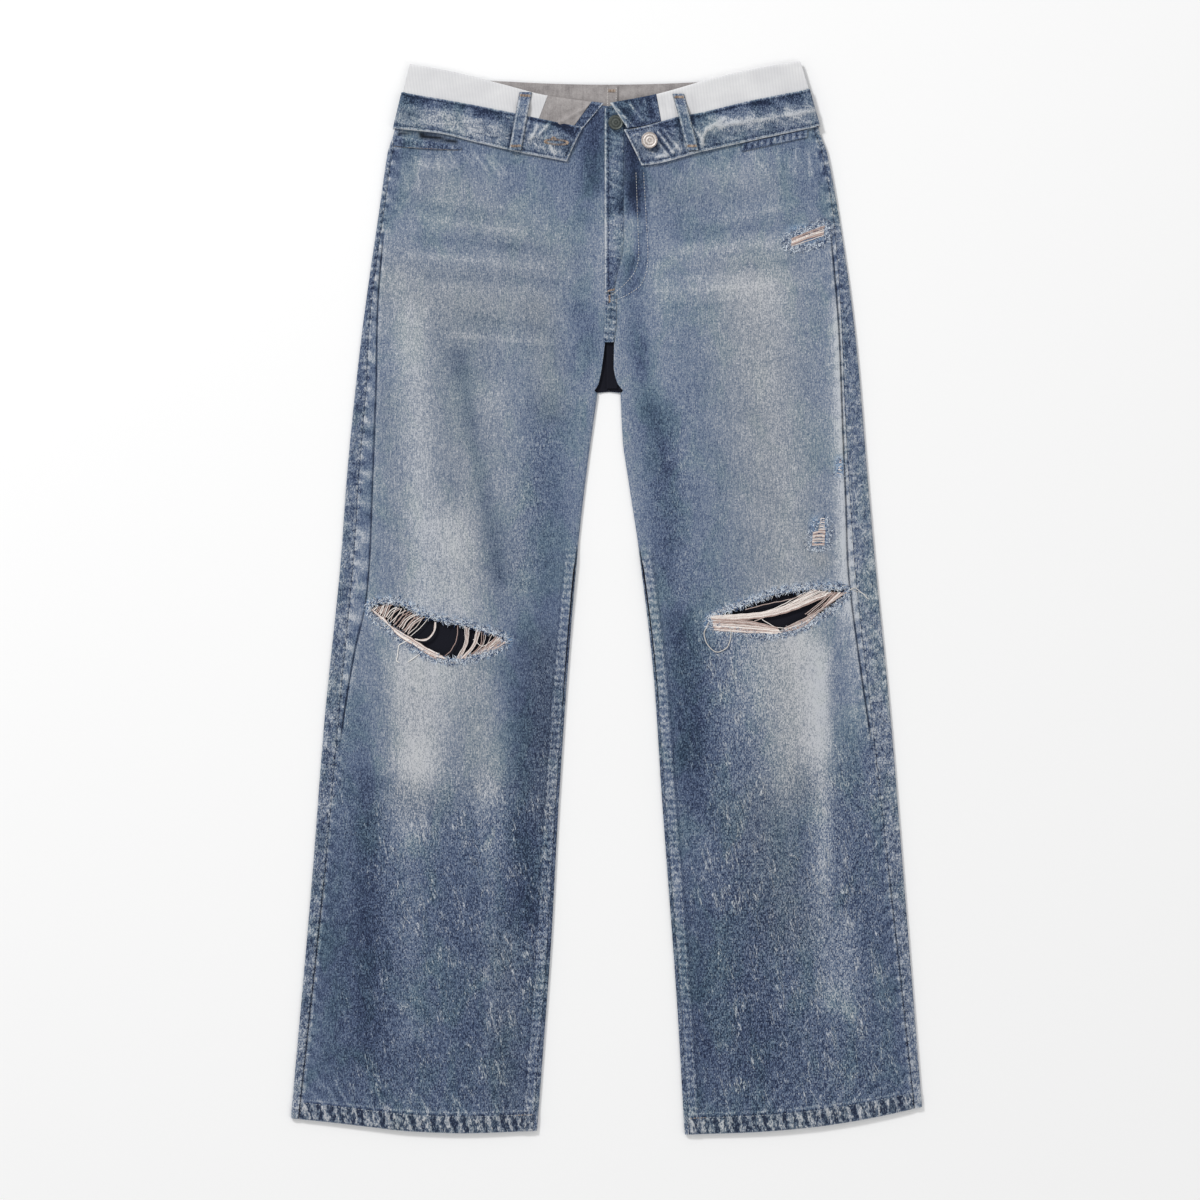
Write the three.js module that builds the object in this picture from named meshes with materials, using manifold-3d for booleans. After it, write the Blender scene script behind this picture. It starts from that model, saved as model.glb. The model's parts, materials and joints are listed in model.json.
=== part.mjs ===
// Ripped straight-leg jeans, laid flat on their back with the front of the waist turned down.
// Millimetres. +X is to the right seen from above, +Y towards the waist, +Z up off the surface.
// Left and right are as seen from above. The origin is under the middle of the outline.
import * as THREE from 'three';
import { mergeVertices } from 'three/addons/utils/BufferGeometryUtils.js';
import Module from 'manifold-3d';

const wasm = await Module();
wasm.setup();

// Cloth and how it stacks
const seamGap = 0.3;
const denim = 1.2;
const bagCloth = 1.0;
const bandCloth = 2.2;
const legLoft = 3.8;
const waistLoft = 5.5;
const legCrown = 1.0;
const backLift = 1.5;
const edgeRound = 2.7;
const hemDepth = 18;
const hemExtra = 0.8;

// Lengths down the garment
const topLine = 530;
const hemLine = -541;
const yokeLine = 440;
const crotchLine = 214;
const flyBottom = 314;

// Values along a line, smoothed between hand-set stations and never past them
function track(points) {
  const stations = [...points].sort((a, b) => a[0] - b[0]);
  const chord = (i) => (stations[i + 1][1] - stations[i][1]) / (stations[i + 1][0] - stations[i][0]);
  const slope = (i) => {
    const before = chord(Math.max(i - 1, 0));
    const after = chord(Math.min(i, stations.length - 2));
    return before * after > 0 ? (2 * before * after) / (before + after) : 0;
  };
  return (at) => {
    const t = THREE.MathUtils.clamp(at, stations[0][0], stations[stations.length - 1][0]);
    let i = 0;
    while (i < stations.length - 2 && t > stations[i + 1][0]) i += 1;
    const [start, from] = stations[i];
    const [end, to] = stations[i + 1];
    const span = end - start;
    const s = (t - start) / span;
    const blend = s * s * (3 - 2 * s);
    const leave = s * (1 - s) * (1 - s) * span * slope(i);
    const arrive = s * s * (s - 1) * span * slope(i + 1);
    return from + (to - from) * blend + leave + arrive;
  };
}

const smooth = (value, from, to) => THREE.MathUtils.smoothstep(value, from, to);
const mix = THREE.MathUtils.lerp;

// Reach outwards from the middle of the body, against height on the garment
const legs = {
  left: {
    sign: -1,
    side: track([[556, 206], [525, 212.5], [491, 224], [393, 239.5], [268, 257], [123, 272],
      [40, 278], [-127, 295], [-293, 308], [-541, 330]]),
    inseam: track([[214, 10.4], [123, 22.9], [40, 32.2], [-85, 42.6], [-210, 51], [-376, 60.3], [-554, 75]]),
    outseamInset: track([[530, 5], [400, 5], [300, 6], [206, 11.5], [0, 13.5], [-140, 14.5],
      [-350, 11], [-541, 7.5]]),
    foldInset: track([[383, 8], [317, 12], [206, 22.5], [76, 29], [4, 30.5], [-60, 24], [-160, 18]]),
    hem: track([[330, -541], [290, -545], [247, -550], [205, -554.5], [150, -556.5], [75, -554]]),
    fold: track([[0, 514], [65, 523], [112, 535], [160, 547], [206, 555.5]]),
    centre: track([[530, -1], [310, -1], [263, 3.5], [224, 9.5], [214.5, 14.9]]),
    backCentre: -0.85,
  },
  right: {
    sign: 1,
    side: track([[559, 199.7], [529, 209.5], [491, 221.5], [393, 241], [268, 258], [123, 270.4],
      [40, 277.7], [-127, 294.3], [-293, 307.8], [-529, 326.8]]),
    inseam: track([[214, 12.5], [164, 15], [123, 20.8], [40, 33.3], [-85, 47.8], [-210, 56.2],
      [-376, 68.6], [-557, 81]]),
    outseamInset: track([[530, 5], [430, 5], [300, 12], [206, 17.5], [0, 21.5], [-180, 18],
      [-300, 14], [-400, 11], [-541, 7.5]]),
    foldInset: track([[430, 8], [354, 13], [300, 15.5], [206, 20.5], [100, 25], [19, 29], [-60, 27], [-160, 22]]),
    hem: track([[327, -529], [290, -537.5], [250, -545], [206, -551], [150, -555.5], [81, -558]]),
    fold: track([[0, 514], [50, 524], [111, 541], [158, 551.5], [200, 558.2]]),
    centre: track([[530, 1.3], [325, 1.3], [300, 7.3], [241, 6], [224, 9.6], [214.5, 16.9]]),
    backCentre: 1.15,
  },
};

// Heights: the underside of the back, the top of the front, and the soft crown between the seams
const backFloor = (y) => backLift * smooth(y, 455, 480);
const frontTop = (y) => mix(legLoft, waistLoft, smooth(y, 380, 470));
function crownAt(across, y) {
  const amount = legCrown * (1 - smooth(y, 330, 440));
  const hip = smooth(y, 190, 250);
  return amount * mix(Math.sin(Math.PI * across), Math.sin(0.5 * Math.PI * across), hip);
}
const backTopLine = (x) => 532.5 + 3 * (x / 100) ** 2;

// The panels under the turned waist sit inside its outline
const hemShare = (y) => 1 - smooth(y, hemLine, hemLine + 120);
const topShare = (y) => smooth(y, topLine - 80, topLine);
function sideReach(leg, y) {
  const along = y + topShare(y) * (leg.fold(205) - edgeRound - topLine) + hemShare(y) * (leg.hem(330) - hemLine);
  return leg.side(along) - 3 * smooth(along, 462, 486);
}
function frontPoint(leg, reach, y) {
  const hemMove = hemShare(y) * (leg.hem(reach) - hemLine);
  const topMove = topShare(y) * (leg.fold(Math.max(reach, 0)) - edgeRound - topLine);
  return [leg.sign * reach, y + hemMove + topMove];
}
function backPoint(leg, reach, y) {
  const hemMove = hemShare(y) * (leg.hem(reach) - hemLine);
  const top = mix(backTopLine(reach), leg.fold(Math.max(reach, 0)) - edgeRound, smooth(reach, 100, 180));
  const topMove = topShare(y) * (top - topLine);
  return [leg.sign * reach, y + hemMove + topMove];
}

// A closed wall between two grids of points, joined round its rim, with its faces outwards
function wall(outer, inner) {
  const rows = outer.length;
  const columns = outer[0].length;
  const points = [...outer.flat(), ...inner.flat()];
  const at = (layer, i, j) => layer * rows * columns + i * columns + j;
  const faces = [];
  const quad = (a, b, c, d) => faces.push(a, b, c, a, c, d);
  for (let i = 0; i < rows - 1; i += 1) {
    for (let j = 0; j < columns - 1; j += 1) {
      quad(at(0, i, j), at(0, i + 1, j), at(0, i + 1, j + 1), at(0, i, j + 1));
      quad(at(1, i, j), at(1, i, j + 1), at(1, i + 1, j + 1), at(1, i + 1, j));
    }
    quad(at(0, i, 0), at(1, i, 0), at(1, i + 1, 0), at(0, i + 1, 0));
    quad(at(0, i, columns - 1), at(0, i + 1, columns - 1), at(1, i + 1, columns - 1), at(1, i, columns - 1));
  }
  for (let j = 0; j < columns - 1; j += 1) {
    quad(at(0, 0, j), at(0, 0, j + 1), at(1, 0, j + 1), at(1, 0, j));
    quad(at(0, rows - 1, j), at(1, rows - 1, j), at(1, rows - 1, j + 1), at(0, rows - 1, j + 1));
  }
  const geometry = new THREE.BufferGeometry();
  geometry.setAttribute('position', new THREE.Float32BufferAttribute(points.flat(), 3));
  geometry.setIndex(signedVolume(points, faces) < 0 ? faces.reverse() : faces);
  return geometry;
}

function signedVolume(points, faces) {
  let volume = 0;
  for (let k = 0; k < faces.length; k += 3) {
    const [a, b, c] = [points[faces[k]], points[faces[k + 1]], points[faces[k + 2]]];
    volume += a[0] * (b[1] * c[2] - b[2] * c[1]);
    volume += a[1] * (b[2] * c[0] - b[0] * c[2]);
    volume += a[2] * (b[0] * c[1] - b[1] * c[0]);
  }
  return volume;
}

// A laid sheet: place(row, column) gives x, y, the height of its underside and its thickness
function sheet(rowValues, columnValues, place) {
  const above = [];
  const below = [];
  for (const row of rowValues) {
    const spots = columnValues.map((column) => place(row, column));
    above.push(spots.map(([x, y, z, thick]) => [x, y, z + thick]));
    below.push(spots.map(([x, y, z]) => [x, y, z]));
  }
  return wall(above, below);
}

function solid(geometry) {
  const bare = geometry.clone();
  bare.deleteAttribute('normal');
  bare.deleteAttribute('uv');
  const merged = mergeVertices(bare, 1e-4);
  return new wasm.Manifold(new wasm.Mesh({
    numProp: 3,
    vertProperties: merged.attributes.position.array,
    triVerts: new Uint32Array(merged.index.array),
  }));
}

function geometryOf(manifold) {
  const mesh = manifold.getMesh();
  const geometry = new THREE.BufferGeometry();
  geometry.setAttribute('position', new THREE.Float32BufferAttribute(mesh.vertProperties, 3));
  geometry.setIndex([...mesh.triVerts]);
  return geometry;
}

const finishes = {
  denimFace: { color: 0x6b7f99, roughness: 0.9, metalness: 0 },
  denimDark: { color: 0x3d4f73, roughness: 0.9, metalness: 0 },
  denimReverse: { color: 0xa9a4a3, roughness: 0.95, metalness: 0 },
  bagWhite: { color: 0xe3e7ec, roughness: 0.9, metalness: 0 },
  paleMetal: { color: 0xd9d3cb, roughness: 0.35, metalness: 0.9 },
  darkMetal: { color: 0x4b4f4d, roughness: 0.4, metalness: 0.9 },
};
const jeans = new THREE.Group();
function add(name, geometry, finish) {
  const mesh = new THREE.Mesh(geometry, new THREE.MeshStandardMaterial(finishes[finish]));
  mesh.name = name;
  jeans.add(mesh);
  return mesh;
}

const legRows = [topLine, 514, 498, 482, 470, 456, yokeLine, 400, 360, 320, 300, 280, 262, 244, 228,
  crotchLine + 0.5, crotchLine - 0.5, 204, 170, 130, 85, 40, 0, -40, -85, -140, -200, -270, -340, -410,
  -470, hemLine + hemDepth + 1, hemLine + hemDepth, hemLine];
const belowCrotch = legRows.filter((y) => y < crotchLine);

// Back panels: how far each column of points reaches out
const backShares = [0, 0.25, 0.5, 0.75, 1];
function backReach(leg, share, y) {
  const centre = y > crotchLine ? leg.backCentre : leg.inseam(y) + edgeRound + seamGap;
  return mix(sideReach(leg, y) - edgeRound - seamGap, centre, share);
}

// The back of the leg lies flat, up to the yoke seam
function backLeg(leg) {
  const rows = [yokeLine - seamGap, ...legRows.filter((y) => y < yokeLine)];
  return sheet(rows, backShares, (y, share) => {
    const [x, along] = backPoint(leg, backReach(leg, share, y), y);
    return [x, along, 0, denim];
  });
}

// The yoke above it rises over the back of the waistband, and its top edge is turned under
function backYoke(leg) {
  const inside = [];
  const outside = [];
  const turn = [
    { drop: 34, in: 0, out: denim },
    { drop: 1.5, in: 0, out: denim },
    { drop: 0.4, in: 0.4, outDrop: 1.25, out: 1.28 },
    { drop: 0, in: 1.35, outDrop: 1.2, out: 1.35 },
    { drop: 0.4, in: 2.3, outDrop: 1.25, out: 1.42 },
    { drop: 1.5, in: backLift + denim, out: backLift },
  ];
  for (const step of turn) {
    const spots = backShares.map((share) => backPoint(leg, backReach(leg, share, topLine), topLine));
    const lip = step.drop > 10;
    const end = (x, y) => (lip ? bandTop(x) + seamGap : y + 1 - step.drop);
    inside.push(spots.map(([x, y]) => [x, end(x, y), step.in]));
    outside.push(spots.map(([x, y]) => [x, lip ? end(x, y) : y + 1 - (step.outDrop ?? step.drop), step.out]));
  }
  for (const y of legRows.filter((row) => row < topLine && row >= yokeLine)) {
    const spots = backShares.map((share) => backPoint(leg, backReach(leg, share, y), y));
    inside.push(spots.map(([x, along]) => [x, along, backFloor(y) + denim]));
    outside.push(spots.map(([x, along]) => [x, along, backFloor(y)]));
  }
  return wall(inside, outside);
}

// The side of the back comes round the edge on to the front, as far as the outseam
function sideWrap(leg, rows, edgeAt, widthAt, inwards) {
  const outer = [];
  const inner = [];
  for (const y of rows) {
    const floor = backFloor(y);
    const top = frontTop(y);
    const middle = (floor + top) / 2;
    const width = widthAt(y);
    const outerSection = [[edgeRound, floor], [0.9, floor + 0.35], [0, middle], [0.9, top - 0.35],
      [edgeRound, top], [width, top]];
    const innerSection = [[edgeRound, floor + denim], [1.9, floor + denim + 0.1], [denim, middle],
      [1.9, top - denim - 0.1], [edgeRound, top - denim], [width, top - denim]];
    const place = ([inset, z]) => {
      const [x, along] = backPoint(leg, edgeAt(y) + inwards * inset, y);
      return [x, along, z];
    };
    outer.push(outerSection.map(place));
    inner.push(innerSection.map(place));
  }
  return wall(outer, inner);
}

// Front panels, with the soft fold that stands along the thigh beside the outseam
function frontLeg(leg, rip) {
  const columns = [0, 1, 2, 3, 4, 5, 6, 7, 8];
  const place = (y, column) => {
    const start = sideReach(leg, y) - leg.outseamInset(y) - seamGap;
    const end = y > crotchLine ? leg.centre(y) : leg.inseam(y) + 4 + seamGap;
    const crest = Math.min(sideReach(leg, y) - leg.foldInset(y) - 1.5, start - 4);
    const share = (column - 2) / 6;
    const reach = [start, crest + 2.5][column] ?? mix(crest, end, share);
    const rise = smooth(-Math.abs(y - 120), -260, -100) * 0.8;
    const fold = [0, -0.1, 1][column] ?? (1 - share) ** 3;
    const across = (start - reach) / (start - end);
    const [x, along] = frontPoint(leg, reach, y);
    const hem = y <= hemLine + hemDepth ? hemExtra : 0;
    const floor = frontTop(y) - denim + crownAt(across, y) + rise * fold;
    return [x, along, floor, denim + hem];
  };
  const panel = solid(sheet(legRows, columns, place));
  const outline = new THREE.Shape(new THREE.SplineCurve(rip.map(([x, y]) => new THREE.Vector2(x, y))).getPoints(26));
  const cutter = new THREE.ExtrudeGeometry(outline, { depth: 20, bevelEnabled: false });
  return geometryOf(panel.subtract(solid(cutter)));
}

const rips = {
  left: [[-248, -11], [-220, -5], [-190, -19], [-141, -31], [-107, -45], [-148, -62], [-187, -58],
    [-220, -35], [-248, -11]],
  right: [[106, -24], [157, -2], [190, 7], [247, 8], [214, -22], [176, -36], [136, -34], [106, -24]],
};

// Turned-down waist: each turned piece runs from the fold at the top to under the waistband
const bandEdges = {
  left: {
    top: track([[-215, 525.5], [-174, 518.5], [-110, 506.5], [-78, 499.5], [-26, 489]]),
    bottom: track([[-224, 488], [-174, 482.5], [-141, 474.5], [-94, 463.5], [-43, 453.5]]),
  },
  right: {
    top: track([[16.5, 486.5], [33, 489], [71, 499.5], [95, 504], [147, 516.5], [210, 529]]),
    bottom: track([[35, 449.5], [49, 451], [95, 463], [133, 471.5], [221, 490.5]]),
  },
};
const bandTop = (x) => 517 + 7 * (x / 215) ** 2;
const turnFloor = waistLoft + seamGap;
const bandFloor = turnFloor + denim + seamGap;
const bandDroop = 0.9;

// Stations give where a line starts on the fold, where it ends under the band, and how far it tucks in
function turned(leg, edge, stations, thick, hooked) {
  const lipFloor = backLift + denim + seamGap;
  const lipDepth = 14;
  const lipReach = Math.min(leg.side(545), leg.side(556)) - 3 - edgeRound - seamGap - 1;
  const outer = [];
  const inner = [];
  for (const [from, to, tuck, arch] of stations) {
    const start = leg.fold(Math.abs(from));
    const end = edge.top(to) - tuck;
    const place = (drop, z) => {
      const share = drop / (start - end);
      const x = mix(from, to, share);
      const hidden = z < waistLoft - denim && drop > 1;
      return [hidden ? THREE.MathUtils.clamp(x, -lipReach, lipReach) : x, start - drop, z];
    };
    const floor = turnFloor + arch;
    const top = floor + thick;
    const length = start - end;
    const bend = [[1.2, top - 0.3, 1.6, floor + 0.1], [3, top, 3, floor], [0.5 * length, top, 0.5 * length, floor],
      [length, top, length, floor]];
    const hook = [[lipDepth, lipFloor, lipDepth, lipFloor + thick], [2.4, lipFloor, 2.4, lipFloor + thick],
      [0, (lipFloor + top) / 2, thick, (lipFloor + top) / 2]];
    const section = hooked ? [...hook, ...bend] : bend;
    outer.push(section.map(([drop, z]) => place(drop, z)));
    inner.push(section.map((spot) => place(spot[2], spot[3])));
  }
  return wall(outer, inner);
}

function between(from, to, steps) {
  return Array.from({ length: steps + 1 }, (_, i) => from.map((value, k) => mix(value, to[k], i / steps)));
}

// Waistband halves, laid over the turned cloth, with the outer end coming down round the side
function bandFront(edge, inner, outer) {
  const rows = [0, 0.34, 0.67, 1];
  const shares = [0, 0.14, 0.28, 0.42, 0.56, 0.7, 0.84, 1];
  const roundSteps = [[1.4, 0.5, 2.8, 0.3], [0.4, 2.4, 2.4, 2.2], [0, 5, bandCloth, 4.6]];
  const above = [];
  const below = [];
  for (const row of rows) {
    const startX = mix(inner[0], inner[1], row);
    const endX = mix(outer[0], outer[1], row);
    const along = (x) => mix(edge.top(x), edge.bottom(x), row);
    const floor = bandFloor - bandDroop * row;
    const top = floor + bandCloth;
    const inwards = Math.sign(startX - endX);
    const flat = shares.map((share) => mix(startX, endX + inwards * 5, share));
    above.push([...flat.map((x) => [x, along(x), top]),
      ...roundSteps.map(([inset, drop]) => [endX + inwards * inset, along(endX), top - drop]),
      [endX, along(endX), backLift]]);
    below.push([...flat.map((x) => [x, along(x), floor]),
      ...roundSteps.map(([, , inset, drop]) => [endX + inwards * inset, along(endX), floor - drop + 1.1]),
      [endX + inwards * bandCloth, along(endX), backLift]]);
  }
  return wall(above, below);
}

// A belt loop runs from the fold over the band to its lower edge
function beltLoop(top, bottom, width) {
  const length = 7;
  const steps = Array.from({ length: length + 1 }, (_, i) => i / length);
  const climb = track([[0, turnFloor + denim], [0.14, turnFloor + denim + 0.1],
    [0.26, bandFloor + bandCloth + 0.1], [0.5, bandFloor + bandCloth], [1, bandFloor + bandCloth - 0.3]]);
  return sheet(steps, [-0.5, 0, 0.5], (t, side) => {
    const x = mix(top[0], bottom[0], t) + side * width;
    const bow = 0.4 * (1 - 4 * side * side);
    return [x, mix(top[1], bottom[1], t), climb(t) + seamGap + bow, denim];
  });
}

// A button turned about its own axis: back plate, neck and rimmed cap
function button(radius, height) {
  const profile = [[0, 0], [0.42, 0], [0.42, 0.3], [0.9, 0.42], [1, 0.6], [0.96, 0.86], [0.8, 1],
    [0.66, 0.88], [0, 0.94]].map(([r, z]) => new THREE.Vector2(r * radius, z * height));
  const cap = new THREE.LatheGeometry(profile, 28);
  cap.rotateX(Math.PI / 2);
  return geometryOf(solid(cap));
}

for (const [name, leg] of Object.entries(legs)) {
  const edgeAt = (y) => sideReach(leg, y);
  add(`back_leg_${name}`, backLeg(leg), 'denimDark');
  add(`back_yoke_${name}`, backYoke(leg), 'denimDark');
  add(`back_side_${name}`, sideWrap(leg, legRows, edgeAt, leg.outseamInset, -1), 'denimDark');
  add(`back_inseam_${name}`, sideWrap(leg, belowCrotch, leg.inseam, () => 4, 1), 'denimDark');
  add(`front_leg_${name}`, frontLeg(leg, rips[name]), 'denimFace');
}

// Centre-back seam: a folded strip inside the back, from the waist to the crotch
const seamRows = [topLine, 514, 482, 470, 456, yokeLine, 360, 280, crotchLine + 4];
add('centre_back_seam', sheet(seamRows, [-1.6, 4.2, 10], (y, x) => {
  const along = y === topLine ? backTopLine(x) - 1 : y;
  return [x, along, backFloor(y) + denim + seamGap, bagCloth];
}), 'denimReverse');

// Fly: the lapped strip with its edge over the left front, and the short seam below it
const frontMiddle = (y) => frontTop(y) + crownAt(1, y) + seamGap;
const flyRows = [509, 482, 470, 456, 436, 400, 360, 330, flyBottom + 4];
add('fly_strip', sheet(flyRows, [0, 0.33, 0.67, 1], (y, share) => {
  const taper = smooth(y, flyBottom, flyBottom + 60);
  return [mix(-3.2, mix(6, 16, taper), share), y, frontMiddle(y) + 0.05, denim];
}), 'denimFace');
add('centre_front_seam', sheet([flyBottom + 2, 296, 280, 266], [0, 0.5, 1], (y, share) => {
  const taper = smooth(y, 260, 290);
  return [mix(mix(-4.5, -3.2, taper), mix(5.5, 8.5, taper), share), y, frontMiddle(y) + 0.05, denim];
}), 'denimFace');

// Waist pieces
const { left, right } = legs;
add('pocket_bag_left', turned(left, bandEdges.left,
  [[-206, -213, -0.8, 0], ...between([-188, -197, 6, 0], [-62.6, -74, 6, 0], 6)], bagCloth, true), 'bagWhite');
add('turned_front_left', turned(left, bandEdges.left,
  between([-62.3, -73.7, 6, 0], [-17, -39, 6, 0], 3), denim, true), 'denimReverse');
add('fly_facing_left', turned(left, bandEdges.left,
  between([-16.6, -38.6, 6, 0], [-4.5, -28, 3, 0], 2), denim, false), 'denimDark');
add('pocket_bag_right', turned(right, bandEdges.right,
  [...between([50.3, 56.5, 6, 0], [182, 192, 6, 0], 6), [199.7, 208.5, -0.8, 0]], bagCloth, true), 'bagWhite');
const flyArch = 4.6;
add('turned_fly_right', turned(right, bandEdges.right,
  [[2, 20, -1, flyArch], [13, 29, -1, flyArch * 0.75], [25, 38, -1, flyArch * 0.3], [49.9, 54.8, -1, 0]],
  denim, false), 'denimDark');
add('waistband_left', bandFront(bandEdges.left, [-26, -43], [-215, -224]), 'denimDark');
add('waistband_right', bandFront(bandEdges.right, [16.5, 35], [210, 221]), 'denimDark');
add('waistband_back', sheet([0, 1], [-1, -0.75, -0.5, -0.25, 0, 0.25, 0.5, 0.75, 1], (row, share) => {
  const x = share * mix(212, 220, row);
  return [x, bandTop(x) - row * 38, 0, denim];
}), 'denimDark');
add('belt_loop_left', beltLoop([-85.5, 525.5], [-96.5, 465], 13), 'denimDark');
add('belt_loop_right', beltLoop([73, 523.8], [88.2, 465], 12), 'denimDark');

// Slanted pocket mouths: a bound edge just below each end of the waistband
add('pocket_edge_left', sheet([-223, -206, -189, -171, -153], [0, 1], (x, row) => {
  const upper = mix(481, 469.5, (x + 223) / 70);
  const depth = mix(10.5, 3, ((x + 223) / 70) ** 2);
  return [x, upper - row * depth, waistLoft + seamGap + 0.1, denim];
}), 'denimDark');
add('pocket_edge_right', sheet([139, 156, 173, 190, 207], [0, 1], (x, row) => {
  return [x, bandEdges.right.bottom(x) - 1 - row * 7.5, waistLoft + seamGap + 0.1, denim];
}), 'denimDark');

// Buttons
const waistButton = add('waist_button', button(8.4, 4.4), 'paleMetal');
waistButton.position.set(43, 475, bandFloor + bandCloth - bandDroop * 0.3 + seamGap);
const flyButton = add('fly_button', button(7.8, 2.4), 'darkMetal');
flyButton.position.set(8.1, 494, waistLoft + 2 * seamGap + 0.1 + denim);

// Bring the origin under the middle of the outline
const outline = new THREE.Box3().setFromObject(jeans);
jeans.position.set(-(outline.min.x + outline.max.x) / 2, -(outline.min.y + outline.max.y) / 2, 0);

export default jeans;
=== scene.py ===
import json
import math
import random

import bmesh
import bpy
import numpy as np
from mathutils import Vector
from mathutils.bvhtree import BVHTree
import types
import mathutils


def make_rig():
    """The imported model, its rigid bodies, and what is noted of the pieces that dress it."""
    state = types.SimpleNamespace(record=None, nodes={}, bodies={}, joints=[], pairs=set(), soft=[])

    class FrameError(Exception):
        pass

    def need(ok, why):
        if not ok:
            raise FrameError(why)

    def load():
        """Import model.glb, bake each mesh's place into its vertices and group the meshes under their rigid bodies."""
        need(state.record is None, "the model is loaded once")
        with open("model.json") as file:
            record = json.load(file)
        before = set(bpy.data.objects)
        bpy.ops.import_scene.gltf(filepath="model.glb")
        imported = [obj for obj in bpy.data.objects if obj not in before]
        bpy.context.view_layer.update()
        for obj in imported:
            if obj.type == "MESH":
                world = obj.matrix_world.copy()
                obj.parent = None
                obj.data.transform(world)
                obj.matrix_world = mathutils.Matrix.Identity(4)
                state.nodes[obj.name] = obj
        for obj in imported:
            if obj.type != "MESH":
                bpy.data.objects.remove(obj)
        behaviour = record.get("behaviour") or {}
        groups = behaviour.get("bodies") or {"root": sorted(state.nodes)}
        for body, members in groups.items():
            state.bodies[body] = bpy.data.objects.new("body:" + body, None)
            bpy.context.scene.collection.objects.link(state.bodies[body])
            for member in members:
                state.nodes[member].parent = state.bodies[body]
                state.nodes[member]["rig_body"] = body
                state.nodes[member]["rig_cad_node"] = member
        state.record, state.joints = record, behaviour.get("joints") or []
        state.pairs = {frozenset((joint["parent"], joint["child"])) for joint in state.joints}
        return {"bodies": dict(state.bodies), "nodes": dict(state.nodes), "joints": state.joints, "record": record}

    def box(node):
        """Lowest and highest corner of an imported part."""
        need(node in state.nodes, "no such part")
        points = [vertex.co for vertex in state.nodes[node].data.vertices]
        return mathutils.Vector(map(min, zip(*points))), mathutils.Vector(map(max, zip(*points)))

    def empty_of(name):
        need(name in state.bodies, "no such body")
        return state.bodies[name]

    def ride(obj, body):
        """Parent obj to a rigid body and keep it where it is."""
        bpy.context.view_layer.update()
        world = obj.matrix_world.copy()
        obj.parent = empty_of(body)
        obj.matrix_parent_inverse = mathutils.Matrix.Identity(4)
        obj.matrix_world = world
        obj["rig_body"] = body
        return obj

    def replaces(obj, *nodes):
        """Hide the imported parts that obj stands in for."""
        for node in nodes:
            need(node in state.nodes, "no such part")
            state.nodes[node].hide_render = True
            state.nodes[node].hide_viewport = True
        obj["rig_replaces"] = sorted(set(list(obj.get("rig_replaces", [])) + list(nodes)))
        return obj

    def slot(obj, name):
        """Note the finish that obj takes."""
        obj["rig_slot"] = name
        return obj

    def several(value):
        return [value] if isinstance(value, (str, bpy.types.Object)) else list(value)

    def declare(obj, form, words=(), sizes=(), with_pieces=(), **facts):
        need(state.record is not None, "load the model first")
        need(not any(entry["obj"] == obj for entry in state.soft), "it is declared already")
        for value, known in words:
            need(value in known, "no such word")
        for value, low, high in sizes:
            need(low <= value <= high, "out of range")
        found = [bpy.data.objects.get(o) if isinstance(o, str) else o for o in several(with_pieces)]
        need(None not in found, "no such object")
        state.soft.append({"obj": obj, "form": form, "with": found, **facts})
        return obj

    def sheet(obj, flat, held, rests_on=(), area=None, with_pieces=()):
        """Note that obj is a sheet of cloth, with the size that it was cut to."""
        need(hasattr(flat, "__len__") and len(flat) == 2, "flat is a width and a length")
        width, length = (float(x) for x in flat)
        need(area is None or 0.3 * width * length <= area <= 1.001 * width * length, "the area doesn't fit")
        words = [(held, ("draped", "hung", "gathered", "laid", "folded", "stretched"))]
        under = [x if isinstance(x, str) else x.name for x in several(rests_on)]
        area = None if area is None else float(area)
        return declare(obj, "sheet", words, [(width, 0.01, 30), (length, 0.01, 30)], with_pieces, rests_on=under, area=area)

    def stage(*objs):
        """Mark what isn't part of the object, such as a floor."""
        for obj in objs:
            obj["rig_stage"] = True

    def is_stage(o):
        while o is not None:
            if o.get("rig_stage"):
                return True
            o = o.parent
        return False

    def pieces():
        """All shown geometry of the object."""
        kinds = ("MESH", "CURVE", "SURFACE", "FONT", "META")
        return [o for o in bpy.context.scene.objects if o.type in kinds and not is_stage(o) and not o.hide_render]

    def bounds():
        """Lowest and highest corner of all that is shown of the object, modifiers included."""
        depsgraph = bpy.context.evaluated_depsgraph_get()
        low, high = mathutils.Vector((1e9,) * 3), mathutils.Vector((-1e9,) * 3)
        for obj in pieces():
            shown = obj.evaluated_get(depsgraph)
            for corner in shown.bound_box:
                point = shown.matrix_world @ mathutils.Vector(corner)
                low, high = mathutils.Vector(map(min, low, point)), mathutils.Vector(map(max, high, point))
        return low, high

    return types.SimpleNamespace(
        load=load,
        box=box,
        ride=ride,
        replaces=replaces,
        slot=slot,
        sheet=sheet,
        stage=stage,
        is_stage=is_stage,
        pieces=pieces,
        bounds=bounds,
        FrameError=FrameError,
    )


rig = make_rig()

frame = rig.load()
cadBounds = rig.bounds()

# Everything below is worked out in millimetres from the middle of the garment's own layout,
# and the fly button's box says where that layout sits in the frame.
millimetre = 0.001
buttonLow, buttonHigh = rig.box("fly_button")
layoutMiddle = (buttonLow + buttonHigh) / 2
shiftX = layoutMiddle.x / millimetre - 8.1
shiftY = layoutMiddle.y / millimetre - 494.0

cloth = {
    "seamGap": 0.3, "denim": 1.2, "bag": 1.0, "band": 2.2,
    "legLoft": 3.8, "waistLoft": 5.5, "crown": 1.0, "backLift": 1.5, "edgeRound": 2.7,
    "hemDepth": 17.5, "threadHeight": 4.6, "topLine": 530.0, "hemLine": -541.0, "crotchLine": 214.0,
}


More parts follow.
